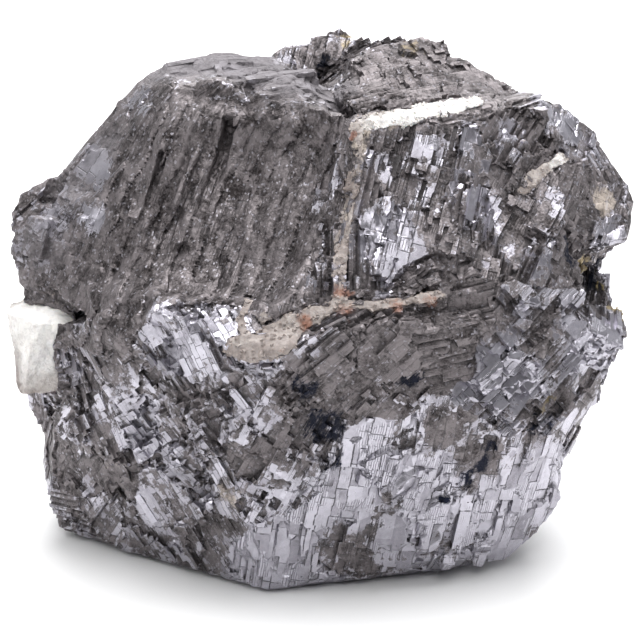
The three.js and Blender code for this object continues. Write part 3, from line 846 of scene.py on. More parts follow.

# %% [markdown]
# ## What the paint needs to know
#
# The shader can't work out where a crystal grain lies, so the mesh carries it. Every face corner gets its
# place in its grain's own directions (`crystal`: along the ledges, across them, and a number for the
# layer), every face its grain's cleanness, and every point the soft balls of dirt, rust and bright metal
# that the picture shows. Some of these balls are painted light: a painted highlight on the lit lip of the
# ridge, painted shade on the floor of the hollow, and painted shadow in the deepest clefts.

# %% Stains and bright faces
BESIDE_ARM = [(357, 160), (354, 174), (352, 188), (350, 202), (348, 216), (346, 230), (344, 244),
              (342, 258), (340, 272), (339, 284)]  # the cream border of the upright vein
STAINS = {  # kind: places in the picture, each with a radius in mm and a strength
    # fresh metal, and a painted highlight on the lit lip of the ridge below the hollow
    "fresh_and_highlit": [
        (396, 238, 4.2, 0.72), (382, 262, 2.8, 0.7), (482, 206, 2.8, 0.7), (550, 198, 3, 0.7),
        (515, 128, 2.2, 0.6), (380, 166, 2, 0.8), (420, 200, 1.6, 0.7), (438, 152, 1.8, 0.8),
        (385, 290, 1.6, 0.7), (566, 122, 4, 0.8), (585, 145, 3, 0.8), (520, 385, 4, 0.9),
        (590, 350, 4, 0.8), (480, 372, 4, 0.8), (330, 490, 6, 0.9), (300, 560, 5, 0.9),
        (430, 500, 5, 0.8), (520, 500, 7, 0.9), (370, 460, 4, 0.8), (190, 350, 5, 0.7),
        (92, 158, 2.5, 0.9), (92, 218, 2.2, 0.9), (612, 240, 3, 1), (170, 470, 4, 0.6),
        (612, 330, 3.4, 0.9), (170, 320, 3, 0.6), (474, 130, 1.4, 0.9), (545, 108, 3, 0.6),
        (60, 215, 4, 0.5), (140, 430, 4, 0.5)],
    # tarnish, and painted shade on the floor of the hollow above the ridge and near the cleft of the big
    # face
    "dull_and_shaded": [
        (385, 505, 2.6, 1), (330, 550, 3.4, 0.9), (520, 470, 2.2, 0.6), (540, 560, 2.4, 0.6),
        (400, 440, 2.4, 0.7), (360, 560, 2.4, 0.7), (470, 455, 3, 0.8), (445, 430, 3.5, 0.9),
        (180, 200, 9, 0.8), (240, 240, 8, 0.7), (130, 270, 7, 0.6), (420, 75, 7, 0.8),
        (470, 85, 5, 0.7), (450, 320, 8, 0.9), (380, 330, 6, 0.8), (545, 330, 4, 0.6),
        (300, 400, 4, 0.5), (110, 470, 5, 0.5), (430, 240, 3, 0.7), (450, 70, 7, 0.8),
        (400, 70, 6, 0.7), (550, 150, 4, 0.7), (500, 100, 4, 0.7), (565, 108, 3, 0.5),
        (190, 400, 5, 0.4), (520, 220, 4, 0.5), (60, 450, 5, 0.6)],
    # pits, and painted shadow along the cleft in the big face and in the gap under the back knob
    "pits_and_shadow": [
        (322, 425, 4.4, 0.72), (305, 385, 3.4, 0.7), (410, 382, 2.6, 0.76), (336, 462, 3, 0.65),
        (540, 425, 3, 0.66), (560, 400, 2.5, 0.6), (575, 250, 3, 0.8), (600, 275, 3, 0.95),
        (320, 64, 2.6, 0.8), (488, 450, 1.6, 0.9), (483, 470, 1.8, 0.9), (466, 484, 1.8, 0.9),
        (446, 495, 1.6, 0.85), (350, 400, 3, 0.6), (300, 500, 3, 0.5), (485, 545, 2, 0.55)],
    "satin": [
        (190, 62, 7, 1), (245, 66, 8, 1), (300, 80, 6, 1), (335, 95, 4, 0.8), (270, 55, 8, 1),
        (70, 190, 6, 0.6), (100, 150, 5, 0.6), (40, 240, 6, 0.6), (612, 310, 5, 0.5)],
    "rusty": [
        (342, 290, 1.5, 0.9), (303, 322, 1.4, 1), (400, 305, 1.8, 0.8), (352, 138, 0.7, 0.9),
        (592, 252, 1, 1), (345, 312, 1.6, 0.7), (430, 300, 1.4, 0.7), (190, 475, 2, 0.3),
        (285, 345, 1, 0.8)],
    "brassy": [
        (590, 268, 2, 1), (606, 280, 2.2, 1), (622, 288, 2.2, 1), (545, 408, 1.4, 0.75),
        (556, 398, 1.4, 0.75), (410, 48, 3.4, 0.5), (345, 40, 3, 0.6), (60, 330, 2, 0.4)],
    "white": [
        (455, 112, 5, 1), (425, 120, 4, 1), (475, 105, 3, 1), (400, 122, 3, 0.7), (35, 310, 5, 1),
        (60, 315, 4, 0.9), (40, 350, 5, 0.7), (385, 126, 3, 0.5), (560, 160, 2, 0.5)],
    "creamy": [
        *((across, down, 0.95, 0.85) for across, down in BESIDE_ARM),
        (365, 130, 1.7, 0.9), (380, 130, 1.5, 0.9), (394, 126, 1.2, 0.8), (362, 144, 1.5, 0.85),
        (410, 308, 1, 0.6), (440, 296, 1.2, 0.6), (235, 350, 2, 0.7), (262, 318, 1.6, 0.6),
        (578, 258, 0.9, 0.9), (592, 268, 0.8, 0.8), (600, 200, 3, 0.8), (225, 500, 3.2, 0.7),
        (110, 470, 2.4, 0.5), (235, 440, 2, 0.4), (60, 300, 3, 0.5), (560, 165, 2.5, 0.6),
        (280, 350, 2.5, 0.5), (110, 525, 2.5, 0.3)],
}
print({kind: len(places) for kind, places in STAINS.items()})

# %% [markdown]
# The mesh carries all this as attributes. A value can sit on a point, where the shader blends it smoothly,
# on a face, or on one corner of a face, which lets two faces that meet at an edge have values of their
# own.

# %% Storing values on the mesh
STAIN_SWAY, STAIN_WAVE = 0.8, 2.2  # millimetres that a stain's border strays, and the length of its waves
STAIN_END = 1.4  # a stain is gone at this many of its radii, and full one radius nearer
CHIPS_DIFFER = 0.24  # how much the chips of a grain differ in cleanness
LAYER = 0.5  # millimetres between layers that get random numbers of their own


def mesh_points(mesh):
    """The mesh's points in millimetres."""
    places = np.empty(len(mesh.vertices) * 3, np.float32)
    mesh.vertices.foreach_get("co", places)
    return places.reshape(-1, 3) / MM


def face_values(mesh, what, width):
    """One value, or one row of values, for each face of the mesh."""
    values = np.empty(len(mesh.polygons) * width, np.float32)
    mesh.polygons.foreach_get(what, values)
    return values.reshape(-1, width)


def store(mesh, name, kind, domain, values):
    """Keeps a value, a vector or a turn for each point, corner or face of the mesh."""
    field = "vector" if kind == "FLOAT_VECTOR" else "value"
    numbers = np.ascontiguousarray(values, np.float32).reshape(-1)
    mesh.attributes.new(name, kind, domain).data.foreach_set(field, numbers)


def paint_stains(piece, kinds):
    """Stores each kind of stain as a value from 0 to 1 on the piece's points."""
    places = mesh_points(piece.data)
    warped = places + STAIN_SWAY * np.stack([smooth_noise(places, STAIN_WAVE, 61 + i) for i in range(3)], 1)
    for kind in kinds:
        value = np.zeros(len(places), np.float32)
        for across, down, radius, strength in STAINS[kind]:
            away = np.linalg.norm(warped - touched(across, down), axis=1)
            value = np.maximum(value, strength * np.clip(STAIN_END - away / radius, 0, 1))
        store(piece.data, kind, "FLOAT", "POINT", value)


def paint_crystal(piece):
    """Stores each face corner's place in its chip and its layer's number, and each face's cleanness."""
    mesh = piece.data
    middles = face_values(mesh, "center", 3) / MM
    outward = face_values(mesh, "normal", 3)
    number = in_parts(nearest_chip, middles)
    axes, centre = CHIP_AXES[number], CHIP_MIDDLES[number]
    main = np.argmax(np.abs(np.einsum("ni,nij->nj", outward, axes)), 1)  # the crystal plane it lies in
    corners = np.empty(len(mesh.loops), np.int32)
    mesh.loops.foreach_get("vertex_index", corners)
    face_of = np.repeat(np.arange(len(mesh.polygons)), 3)
    place = np.einsum("ni,nij->nj", mesh_points(mesh)[corners] - centre[face_of], axes[face_of])
    rows = np.arange(len(corners))
    first = np.array((1, 0, 0))[main][face_of]
    second = np.array((2, 2, 1))[main][face_of]
    level = np.einsum("ni,nij->nj", middles - centre, axes)[np.arange(len(main)), main]
    layer = scrambled(np.round(level / LAYER), number, main)
    fine = np.array([grain.get("fine", 1.0) for grain in ALL_GRAINS])[CHIP_GRAINS[number]][face_of]
    crystal = np.stack([place[rows, first] * fine, place[rows, second] * fine, layer[face_of]], 1)
    store(mesh, "crystal", "FLOAT_VECTOR", "CORNER", crystal)
    clean = np.array([grain["clean"] for grain in ALL_GRAINS], np.float32)[CHIP_GRAINS[number]]
    store(mesh, "clean", "FLOAT", "FACE", clean + CHIPS_DIFFER * (scrambled(number, 5) - 0.5))


def paint_height(piece):
    """Stores how far each point stands out of the smooth lump, in millimetres."""
    out = look_up(shaped, low_corner, STONE_GRID, mesh_points(piece.data))
    store(piece.data, "out", "FLOAT", "POINT", out)


def paint_edges(piece):
    """Stores how sharply the surface bends at each point, in degrees: above zero on edges."""
    mesh = piece.data
    corners = np.empty(len(mesh.loops), np.int32)
    mesh.loops.foreach_get("vertex_index", corners)
    triangles = corners.reshape(-1, 3).astype(np.int64)
    middles, outward = face_values(mesh, "center", 3), face_values(mesh, "normal", 3)
    ends = np.concatenate([triangles[:, (0, 1)], triangles[:, (1, 2)], triangles[:, (2, 0)]])
    face = np.tile(np.arange(len(triangles)), 3)
    key = ends.min(1) * len(mesh.vertices) + ends.max(1)
    order = np.argsort(key, kind="stable")
    paired = np.flatnonzero(key[order][1:] == key[order][:-1])
    one, two = face[order[paired]], face[order[paired + 1]]
    bend = np.degrees(np.arccos(np.clip((outward[one] * outward[two]).sum(1), -1, 1)))
    bend *= -np.sign(((middles[two] - middles[one]) * outward[one]).sum(1))
    total, count = np.zeros(len(mesh.vertices)), np.full(len(mesh.vertices), 1e-9)
    for end in (0, 1):
        np.add.at(total, ends[order[paired], end], bend)
        np.add.at(count, ends[order[paired], end], 1)
    store(mesh, "bend", "FLOAT", "POINT", total / count)


paint_crystal(stone)
paint_height(stone)
paint_edges(stone)
paint_stains(stone, [kind for kind in STAINS if kind != "white"])
for piece in (vein, veinlet, block):
    paint_stains(piece, ("rusty", "white"))
print("the stone carries:", [attribute.name for attribute in stone.data.attributes])

# %% [markdown]
# ## A small language for shaders
#
# Shader nodes are sums and products with wires between them. The class below wraps one wire, so a formula
# can be written as a formula: `rust * 0.5 + 0.1` adds two Math nodes and joins them up.

# %% A small language for shaders
class Wire:
    """One value of a material, which can be added, multiplied and so on like a number."""

    def __init__(self, tree, socket):
        self.tree, self.socket = tree, socket

    def math(self, operation, *values):
        node = self.tree.nodes.new("ShaderNodeMath")
        node.operation = operation
        for place, value in zip(node.inputs, values):
            plug(self.tree, place, value)
        return Wire(self.tree, node.outputs[0])

    def __add__(self, other): return self.math("ADD", self, other)
    def __radd__(self, other): return self.math("ADD", other, self)
    def __sub__(self, other): return self.math("SUBTRACT", self, other)
    def __rsub__(self, other): return self.math("SUBTRACT", other, self)
    def __mul__(self, other): return self.math("MULTIPLY", self, other)
    def __rmul__(self, other): return self.math("MULTIPLY", other, self)
    def __truediv__(self, other): return self.math("DIVIDE", self, other)
    def __rtruediv__(self, other): return self.math("DIVIDE", other, self)

    def floor(self): return self.math("FLOOR", self)
    def least(self, other): return self.math("MINIMUM", self, other)
    def most(self, other): return self.math("MAXIMUM", self, other)

    def ramp(self, start, end):
        """0 where the value is start, 1 where it's end, straight between and level beyond."""
        node = self.tree.nodes.new("ShaderNodeMapRange")
        for name, value in {"Value": self, "From Min": start, "From Max": end}.items():
            plug(self.tree, node.inputs[name], value)
        return Wire(self.tree, node.outputs[0])


def plug(tree, place, value):
    """Joins a wire to a node's input, or sets the input to a plain value."""
    if isinstance(value, Wire):
        tree.links.new(value.socket, place)
    else:
        place.default_value = value


class Paint:
    """A material that is written as formulas."""

    def __init__(self, name):
        self.material = bpy.data.materials.new(name)
        self.material.use_nodes = True
        self.tree = self.material.node_tree
        self.surface = self.tree.nodes["Principled BSDF"]

    def node(self, kind, output=0, settings=None, **values):
        """The output of a new node of any kind, with its settings made before its inputs are filled."""
        node = self.tree.nodes.new("ShaderNode" + kind)
        for name, value in (settings or {}).items():
            setattr(node, name, value)
        for name, value in values.items():
            plug(self.tree, node.inputs[name], value)
        return Wire(self.tree, node.outputs[output])

    def stored(self, name, output="Fac"):
        """A value that the mesh carries."""
        return self.node("Attribute", output, {"attribute_name": name})

    def mix(self, share, first, second):
        """A colour between two, at that share of the way."""
        node = self.tree.nodes.new("ShaderNodeMix")
        node.data_type = "RGBA"
        plug(self.tree, node.inputs[0], share)
        plug(self.tree, node.inputs[6], first)
        plug(self.tree, node.inputs[7], second)
        return Wire(self.tree, node.outputs[2])

    def parts(self, vector):
        """The three numbers of a vector."""
        node = self.tree.nodes.new("ShaderNodeSeparateXYZ")
        plug(self.tree, node.inputs[0], vector)
        return [Wire(self.tree, output) for output in node.outputs]

    def vector(self, operation, *values, output=0, **named):
        """A sum or product of vectors."""
        node = self.tree.nodes.new("ShaderNodeVectorMath")
        node.operation = operation
        for place, value in zip(node.inputs, values):
            plug(self.tree, place, value)
        for name, value in named.items():
            plug(self.tree, node.inputs[name], value)
        return Wire(self.tree, node.outputs[output])

    def noise(self, size, detail=2.0, rough=0.5):
        """A soft noise from 0 to 1 whose bumps are about that many millimetres across."""
        place = self.node("TexCoord", "Object")
        return self.node("TexNoise", "Fac", Vector=place, Scale=1 / (size * MM), Detail=detail,
                         Roughness=rough)

    def cells(self, size):
        """Three random numbers for each of many small cells, about that many millimetres across."""
        place = self.node("TexCoord", "Object")
        return self.node("TexVoronoi", "Color", Vector=place, Scale=1 / (size * MM))

    def cuts(self, place):
        """Uneven cuts along a line: a random number for each part, and the distance to the nearest cut."""
        line = {"voronoi_dimensions": "1D"}
        to_cut = dict(line, feature="DISTANCE_TO_EDGE")
        part = self.node("TexVoronoi", "W", line, W=place, Scale=1.0)
        return part, self.node("TexVoronoi", "Distance", to_cut, W=place, Scale=1.0)

    def leaning(self, random, most):
        """A small vector made from three random numbers, to tilt a piece of the surface by."""
        return self.vector("MULTIPLY_ADD", random, (most,) * 3, (-most / 2,) * 3)

    def finish(self, **values):
        """Fills the surface's inputs, named with _ for a space."""
        for name, value in values.items():
            plug(self.tree, self.surface.inputs[name.replace("_", " ")], value)
        return self.material


# %% [markdown]
# ## Painting the galena
#
# Fresh galena is a metal mirror with a faint lavender cast. In the air it goes dull and brown-grey, brick
# by brick, and dirt fills the joints. The shader lays uneven strips over every facet, cuts each strip into
# pieces and gives every piece its own tiny lean and its own share of tarnish. Two sizes of pieces are
# enough: the larger make patches, the smaller make the glitter.

# %% Painting the galena
PLATES, SLIVERS = (5.2, 1.9, 0.32), (3.4, 0.32, 0.10)  # length, width and jags of the pieces in mm
STAIR = 0.31  # where a strip's edge jumps aside, as a share of a piece's length
SPECK = 0.26  # millimetres across the grains of the dull parts
LEAN_PLATE, LEAN_SLIVER, LEAN_SPECK = 0.10, 0.30, 0.36  # how far they lean, against the normal's length
FRESH, SHADED = (0.50, 0.485, 0.54, 1), (0.13, 0.122, 0.14, 1)
TARNISH, EARTH = (0.205, 0.184, 0.189, 1), (0.026, 0.021, 0.021, 1)
BLUE_BLACK, RUST = (0.012, 0.014, 0.026, 1), (0.28, 0.10, 0.045, 1)
BRASS, CREAM = (0.42, 0.33, 0.16, 1), (0.50, 0.43, 0.37, 1)
SATIN, SATIN_DARK = (0.26, 0.243, 0.26, 1), (0.15, 0.138, 0.147, 1)
CRACK_AND_SHADE_DARK = (0.010, 0.009, 0.011, 1)

galena = Paint("galena")
along, across, layer = galena.parts(galena.stored("crystal", "Vector"))


def pieces_of(paint, length, width, jag):
    """Uneven strips cut into pieces: a random colour for each piece, and the mm to its joint.

    The large factors on the layer's and the strip's numbers only shift the cuts, so that neighbours differ.
    """
    stair = (along / (length * STAIR) + layer * 13.0).floor()
    shift = paint.node("TexWhiteNoise", "Value", {"noise_dimensions": "1D"}, W=stair)
    strip, strip_joint = paint.cuts((across + shift * jag) / width + layer * 57.0)
    piece, piece_joint = paint.cuts(along / length + strip * 31.7)
    address = paint.node("CombineXYZ", X=strip, Y=piece, Z=layer)
    random = paint.node("TexWhiteNoise", "Color", {"noise_dimensions": "3D"}, Vector=address)
    return random, (strip_joint * width).least(piece_joint * length)


plate_random, plate_joint = pieces_of(galena, *PLATES)
sliver_random, sliver_joint = pieces_of(galena, *SLIVERS)
plate_a, plate_b, plate_c = galena.parts(plate_random)
sliver_a, sliver_b, sliver_c = galena.parts(sliver_random)
print("nodes for the pieces:", len(galena.tree.nodes))

# %% [markdown]
# Tarnish isn't even. It follows the grain's own cleanness and the spots that were pointed at, and soft
# noises of several sizes break it up. Some of those spots are painted highlight and painted shade. Convex
# edges are a little cleaner and lighter, partly from wear and partly as a painted highlight. Recesses and
# concave creases are more tarnished and darker, partly tarnish kept in hollows and partly painted shade.
# Cracks run along some of the joints between the pieces, never along all of them, and the creases get the
# same dark as painted shade.

# %% Tarnish and cracks
cloud = galena.noise(6.0, 3.0)
clean = galena.stored("clean")
fresh_and_highlit_spot, dull_and_shaded_spot = galena.stored("fresh_and_highlit"), galena.stored("dull_and_shaded")
pits_and_shadow_spot, rust_spot = galena.stored("pits_and_shadow"), galena.stored("rusty")
brass_spot, cream_spot = galena.stored("brassy"), galena.stored("creamy")
satin = galena.stored("satin") * (0.55 + cloud * 0.7)
out, bend = galena.stored("out"), galena.stored("bend")
# Convex edges: lighter, partly from wear and partly as a painted highlight. Concave creases: painted shade.
wear_and_edge_highlight, sunken = bend.ramp(6.0, 26.0), bend.ramp(-6.0, -28.0)

speckle = galena.noise(0.9, 5.0, 0.65)
grit = galena.noise(0.28, 3.0, 0.6)
mottle = galena.noise(2.4, 4.0, 0.6)
splintered = galena.noise(3.5, 2.0).ramp(0.53, 0.59)
# The spots add real fresh metal, tarnish and pits, and also painted highlight, painted shade and painted
# shadow.
cleanness_with_painted_light = clean + fresh_and_highlit_spot * 0.75 - dull_and_shaded_spot * 0.7 - pits_and_shadow_spot * 0.6

# Recesses and concave creases tarnish more, convex edges less: partly real tarnish and wear, partly painted
# shade and painted highlight.
dulling_and_painted_light = plate_a * 0.36 + sliver_a * splintered * 0.35 + cloud * 1.1 + (speckle - 0.5) * 1.5
dulling_and_painted_light = dulling_and_painted_light + out * -0.3 + 0.05 - wear_and_edge_highlight * 0.12 + sunken * 0.2
tarnish_with_painted_light = (dulling_and_painted_light - cleanness_with_painted_light - 0.1).ramp(0.10, 0.22)
broken = (speckle - 0.5) * 0.30
plate_crack = (plate_joint + broken).ramp(0.095, 0.02) * (cloud + speckle * 0.6).ramp(0.70, 0.78)
sliver_crack = (sliver_joint + broken * 0.4).ramp(0.05, 0.01) * splintered
plate_crack = plate_crack * (1 - tarnish_with_painted_light * 0.55)
# Dark joints, and painted shade in concave creases.
cracks_and_crease_shade = plate_crack.most(sliver_crack * 0.7).most(sunken * 0.55)
print("nodes with the tarnish:", len(galena.tree.nodes))

# %% [markdown]
# The colours go on in the order in which nature laid them, with painted light among them: metal, tarnish,
# the satin bloom of the flat top, pits together with painted shadow in the deepest clefts, then brassy,
# cream and rusty stains, and last the dark of the cracks together with painted shade in the creases. What
# lies on the metal isn't metallic.

# %% The colours of the galena
shine = plate_b * 0.3 + sliver_b * splintered * 0.5 + speckle * 0.35
fresh_colour = galena.mix(shine.ramp(0.02, 0.45), SHADED, FRESH)
# Convex edges lighten the dull colour: partly wear, partly a painted highlight.
dirt_and_edge_highlight = speckle * 0.9 + grit * 0.8 + plate_c * 0.35 + cloud * 0.5 + wear_and_edge_highlight * 0.3 + mottle * 1.4 - 1.45
dull_colour = galena.mix(dirt_and_edge_highlight.ramp(0.2, 0.75), EARTH, TARNISH)
specks = galena.cells(SPECK)
spark = galena.parts(specks)[0].ramp(0.93, 0.97)
dull_colour = galena.mix(spark * 0.4, dull_colour, FRESH)
colour = galena.mix(tarnish_with_painted_light, fresh_colour, dull_colour)
silky = satin.ramp(0.3, 0.8)
colour = galena.mix(silky * 0.9, colour, galena.mix(speckle.ramp(0.3, 0.7), SATIN_DARK, SATIN))
# Blue-black pits, and painted shadow in the cleft of the big face and the gap under the back knob.
pits_and_shadow = (pits_and_shadow_spot + speckle * 0.8 + sliver_c * 0.2).ramp(1.05, 1.2)
colour = galena.mix(pits_and_shadow, colour, BLUE_BLACK)
brassed = (brass_spot + speckle * 0.7).ramp(0.85, 1.05)
colour = galena.mix(brassed * 0.7, colour, BRASS)
creamed = (cream_spot + speckle * 0.9 + grit * 0.3).ramp(1.1, 1.4)
colour = galena.mix(creamed * 0.8, colour, CREAM)
rusted = (rust_spot + speckle * 0.9).ramp(1.0, 1.25)
colour = galena.mix(rusted * 0.6, colour, RUST)
# Near black for the cracks, and for the painted shade in the creases.
colour = galena.mix(cracks_and_crease_shade * 0.85, colour, CRACK_AND_SHADE_DARK)
covered = creamed.most(rusted)
metallic = (1 - tarnish_with_painted_light * 0.22) * (1 - covered) * (1 - cracks_and_crease_shade * 0.8) * (1 - silky * 0.5)
roughness = 0.23 + sliver_c * 0.12 + grit * 0.1 + tarnish_with_painted_light * 0.2 + pits_and_shadow * 0.1 + silky * 0.3
roughness = roughness.most(covered * 0.7)
print("nodes with the colours:", len(galena.tree.nodes))

# %% [markdown]
# Every piece, sliver and grain leans its own way, which is what makes the stone glitter. The lean is added
# to the surface's own direction, so it costs no triangles.

# %% The glitter
glitter = galena.vector("SCALE", galena.leaning(sliver_random, LEAN_SLIVER), Scale=splintered * 0.6 + 0.10)
graininess = galena.vector("SCALE", galena.leaning(specks, LEAN_SPECK), Scale=tarnish_with_painted_light * 0.9 + 0.06)
lean = galena.vector("ADD", galena.leaning(plate_random, LEAN_PLATE), glitter)
lean = galena.vector("ADD", lean, graininess)
tilted = galena.vector("ADD", galena.node("NewGeometry", "Normal"), lean)
tilted = galena.vector("NORMALIZE", tilted)
bumps = speckle * 0.5 + grit * (tarnish_with_painted_light * 0.5 + 0.12) - cracks_and_crease_shade * 0.9
pebbled = galena.node("Bump", "Normal", Strength=0.7, Distance=0.16 * MM, Height=bumps, Normal=tilted)
galena_material = galena.finish(Base_Color=colour, Metallic=metallic, Roughness=roughness, Normal=pebbled)
stone.data.materials.append(galena_material)
print("galena nodes:", len(galena.tree.nodes))

# %% [markdown]
# ## Painting the calcite
#
# Calcite is milky and dull here, cream with a touch of pink, and iron has stained it rusty where the veins
# meet.

# %% Painting the calcite
CREAMY_DARK, CREAMY = (0.24, 0.20, 0.185, 1), (0.46, 0.41, 0.385, 1)
MILKY, GREYISH = (0.84, 0.82, 0.80, 1), (0.22, 0.19, 0.18, 1)
DIRTY, IRON = (0.17, 0.145, 0.135, 1), (0.33, 0.12, 0.055, 1)
SEEN_INTO = (0.9 * MM, 0.6 * MM, 0.4 * MM)  # how far red, green and blue light spread under its skin

calcite_paint = Paint("calcite")
mix = calcite_paint.mix
blotch = calcite_paint.noise(2.4, 4.0, 0.6)
grit = calcite_paint.noise(0.5, 3.0, 0.65)
cell_a, cell_b, _ = calcite_paint.parts(calcite_paint.cells(0.5))
rust_spot, white_spot = calcite_paint.stored("rusty"), calcite_paint.stored("white")
milk = mix(blotch.ramp(0.35, 0.65), CREAMY_DARK, CREAMY)
milk = mix((white_spot + blotch * 0.5 - 0.2).ramp(0.1, 0.7), milk, MILKY)
milk = mix(cell_a.ramp(0.55, 1.0) * (0.4 - white_spot * 0.35), milk, GREYISH)
milk = mix(grit.ramp(0.50, 0.70) * (0.5 - white_spot * 0.4), milk, DIRTY)
milk = mix((rust_spot + grit * 0.9).ramp(0.9, 1.4) * 0.6, milk, IRON)
crystals = grit + blotch + cell_b * 0.6
grained = calcite_paint.node("Bump", "Normal", Strength=0.8, Distance=0.2 * MM, Height=crystals)
calcite_material = calcite_paint.finish(Base_Color=milk, Roughness=0.5 + grit * 0.3, Normal=grained,
                                        Subsurface_Weight=0.12, Subsurface_Radius=SEEN_INTO)
for piece in (vein, veinlet, block):
    piece.data.materials.append(calcite_material)
print("calcite nodes:", len(calcite_paint.tree.nodes))

# %% [markdown]
# ## Flakes and grains
#
# Thin slabs of galena still cling to the cleavage faces, and small crystals stand on the calcite. Both are
# the same job: many small blocks set on a surface. A Geometry Nodes tree does it: it scatters points where
# the mesh says how many it wants, sets a block of random size on each, turns it the way that the crystal
# under it lies, sinks it a little, and makes one plain mesh of them all.

# %% A node tree that sets blocks on a surface
def scatter_tree():
    """A node tree that sets small blocks on a surface."""
    tree = bpy.data.node_groups.new("blocks on a surface", "GeometryNodeTree")
    tree.interface.new_socket("Surface", in_out="INPUT", socket_type="NodeSocketGeometry")
    for name, kind in {"Density": "Float", "Smallest": "Vector", "Largest": "Vector", "Sink": "Float",
                       "Seed": "Int", "Material": "Material"}.items():
        tree.interface.new_socket(name, in_out="INPUT", socket_type="NodeSocket" + kind)
    tree.interface.new_socket("Blocks", in_out="OUTPUT", socket_type="NodeSocketGeometry")
    given = tree.nodes.new("NodeGroupInput").outputs

    def add(kind, settings=None, **inputs):
        node = tree.nodes.new(kind)
        for name, value in (settings or {}).items():
            setattr(node, name, value)
        for name, value in inputs.items():
            place = node.inputs[name.replace("_", " ")]
            if isinstance(value, bpy.types.NodeSocket):
                tree.links.new(value, place)
            else:
                place.default_value = value
        return node

    wanted = add("GeometryNodeInputNamedAttribute", {"data_type": "FLOAT"}, Name="wanted")
    density = add("ShaderNodeMath", {"operation": "MULTIPLY"})
    tree.links.new(wanted.outputs["Attribute"], density.inputs[0])
    tree.links.new(given["Density"], density.inputs[1])
    points = add("GeometryNodeDistributePointsOnFaces", Mesh=given["Surface"], Density=density.outputs[0],
                 Seed=given["Seed"])
    turn = add("GeometryNodeInputNamedAttribute", {"data_type": "QUATERNION"}, Name="turn")
    size = add("FunctionNodeRandomValue", {"data_type": "FLOAT_VECTOR"}, Seed=given["Seed"])
    tree.links.new(given["Smallest"], size.inputs[0])
    tree.links.new(given["Largest"], size.inputs[1])
    block = add("GeometryNodeMeshCube")
    blocks = add("GeometryNodeInstanceOnPoints", Points=points.outputs["Points"],
                 Instance=block.outputs["Mesh"], Rotation=turn.outputs["Attribute"], Scale=size.outputs[0])
    down = add("ShaderNodeCombineXYZ")
    tree.links.new(given["Sink"], down.inputs["Z"])
    sunk = add("GeometryNodeTranslateInstances", Instances=blocks.outputs["Instances"],
               Translation=down.outputs["Vector"])
    whole = add("GeometryNodeRealizeInstances", Geometry=sunk.outputs["Instances"])
    dressed = add("GeometryNodeSetMaterial", Geometry=whole.outputs["Geometry"], Material=given["Material"])
    tree.links.new(dressed.outputs["Geometry"], tree.nodes.new("NodeGroupOutput").inputs["Blocks"])
    return tree


BLOCKS = scatter_tree()


def scatter(name, surface_piece, wanted, turns, material, density, smallest, largest, sink, seed):
    """A new piece made of small blocks: `wanted` and `turns` have one row for each face of the surface.

    Sizes are in millimetres, and the density is the number of blocks on a square millimetre.
    """
    piece = bpy.data.objects.new(name, surface_piece.data.copy())
    bpy.context.scene.collection.objects.link(piece)
    store(piece.data, "wanted", "FLOAT", "FACE", wanted)
    store(piece.data, "turn", "QUATERNION", "FACE", turns)
    blocks = piece.modifiers.new("blocks", "NODES")
    blocks.node_group = BLOCKS
    values = {"Density": density / MM ** 2, "Smallest": [v * MM for v in smallest],
              "Largest": [v * MM for v in largest], "Sink": -sink * MM, "Seed": seed, "Material": material}
    for socket in BLOCKS.interface.items_tree:
        if socket.in_out == "INPUT" and socket.name in values:
            blocks[socket.identifier] = values[socket.name]
    bake_modifiers(piece)
    piece.data.shade_flat()
    print(name, len(piece.data.polygons) // 6, "blocks")
    return piece


def turns_of(axes):
    """Quaternions for crystal directions given as matrices."""
    return np.array([Matrix(one.tolist()).to_quaternion()[:] for one in axes])


# %% [markdown]
# A flake clings where the surface is a cleavage face, so three things have to agree there: the face of the
# mesh, the flat way of the chip, and the broad surface. Calcite crystals stand every way on the front of
# the veins.

# %% Flakes and small crystals
ON_CLEAVAGE, ON_BROAD = 0.96, 0.94  # how well the directions agree, 1 for quite
OFF_CALCITE, OFF_FLOOR = 0.8, 2.0  # millimetres that flakes keep away
middles, outward = face_values(stone.data, "center", 3) / MM, face_values(stone.data, "normal", 3)
chip_number = in_parts(nearest_chip, middles)
flat_way = CHIP_AXES[chip_number][:, :, 2]
lying = (outward * flat_way).sum(1) > ON_CLEAVAGE
lying &= (way_out(middles, 2.6) * flat_way).sum(1) > ON_BROAD
white_parts = np.minimum(solid["calcite_vein"], solid["calcite_block"])
lying &= look_up(white_parts, low_corner, STONE_GRID, middles) > OFF_CALCITE
lying &= smooth_noise(middles, 5.0, 81) > -0.1
lying &= middles[:, 2] > OFF_FLOOR
flakes = scatter("cleavage_flakes", stone, lying, turns_of(CHIP_AXES)[chip_number], galena_material,
                 0.035, (0.8, 0.4, 0.10), (4.2, 1.5, 0.28), 0.02, 3)

tumbled = np.random.default_rng(5)
grains = []
for base, label, seed in ((vein, "calcite_vein", 6), (veinlet, "calcite_veinlet", 8)):
    turns = tumbled.normal(size=(len(base.data.polygons), 4))
    turns /= np.linalg.norm(turns, axis=1)[:, None]
    in_front = face_values(base.data, "normal", 3)[:, 1] < 0.3
    grains.append(scatter(label + "_crystals", base, in_front, turns, calcite_material,
                          1.4, (0.2,) * 3, (0.55, 0.5, 0.4), 0.14, seed))

# %% [markdown]
# ## Riding
#
# The whole lump is one body, so every piece rides on it. Four pieces take the place of the measured solids
# that they grew from, and the flakes and crystals come on top.

# %% Riding
for piece, node, slot in ((stone, "galena_mass", "galena"), (vein, "calcite_vein", "calcite"),
                          (veinlet, "calcite_veinlet", "calcite"), (block, "calcite_block", "calcite")):
    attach(piece, "root")
    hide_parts(node)
for piece, slot in ((flakes, "galena"), (grains[0], "calcite"), (grains[1], "calcite")):
    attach(piece, "root")
print("pieces:", [piece.name for piece in (stone, vein, veinlet, block, flakes, *grains)])

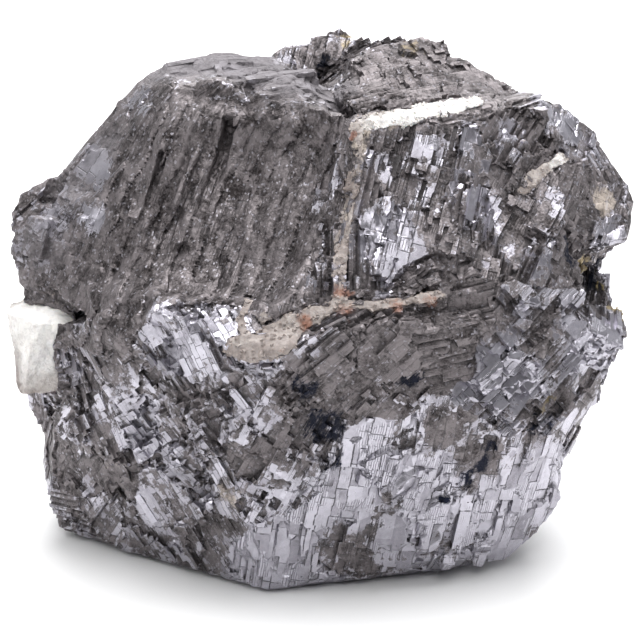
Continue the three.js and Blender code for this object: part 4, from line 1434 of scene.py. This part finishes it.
# %% [markdown]
# ## The stage
#
# A metal is as bright as what it mirrors. The big face at the lower right mirrors the white table in front
# of it, the slabs above mirror the lamp overhead, and the left side has little light to mirror, as in the
# picture.

# %% The stage
bpy.context.scene.view_settings.view_transform = "Standard"
world = bpy.data.worlds.new("studio")
bpy.context.scene.world = world
world.use_nodes = True
sky = world.node_tree
direction = sky.nodes.new("ShaderNodeTexCoord").outputs["Generated"]
split = sky.nodes.new("ShaderNodeSeparateXYZ")
sky.links.new(direction, split.inputs[0])
east, north, height = [Wire(sky, output) for output in split.outputs]
glow = 0.36 + east * 0.06 + north * 0.32 + height * 0.14  # the room is brighter behind and above the lump
sky.links.new(glow.most(0.05).socket, sky.nodes["Background"].inputs["Strength"])
sky.nodes["Background"].inputs["Color"].default_value = (0.97, 0.98, 1.0, 1)

FLOOR = 3  # metres from the middle of the floor to its edges
floor_mesh = bpy.data.meshes.new("floor")
corners = [(-FLOOR, -FLOOR, 0), (FLOOR, -FLOOR, 0), (FLOOR, FLOOR, 0), (-FLOOR, FLOOR, 0)]
floor_mesh.from_pydata(corners, [], [(0, 1, 2, 3)])
floor = bpy.data.objects.new("floor", floor_mesh)
bpy.context.scene.collection.objects.link(floor)
paper = Paint("paper")
floor_mesh.materials.append(paper.finish(Base_Color=(0.93, 0.93, 0.93, 1), Roughness=0.9))

LAMPS = {  # place in metres, size in metres, energy in watts
    "overhead": ((0.05, 0.02, 0.60), 0.46, 4.9),
    "front": ((0.05, -0.62, 0.60), 0.34, 1.6),
    "left": ((-0.60, -0.25, 0.35), 0.30, 0.7),
    "behind": ((0.0, 0.8, 0.7), 0.8, 8.0),
}
LIT = Vector((0, 0, 0.03))  # metres, the middle of the lump, where the lamps point
for name, (place, size, energy) in LAMPS.items():
    lamp = bpy.data.objects.new(name, bpy.data.lights.new(name, "AREA"))
    lamp.data.size = size
    lamp.data.energy = energy
    lamp.location = place
    lamp.rotation_mode = "QUATERNION"
    lamp.rotation_quaternion = (LIT - lamp.location).to_track_quat("-Z", "Y")
    bpy.context.scene.collection.objects.link(lamp)
print("lamps:", list(LAMPS))
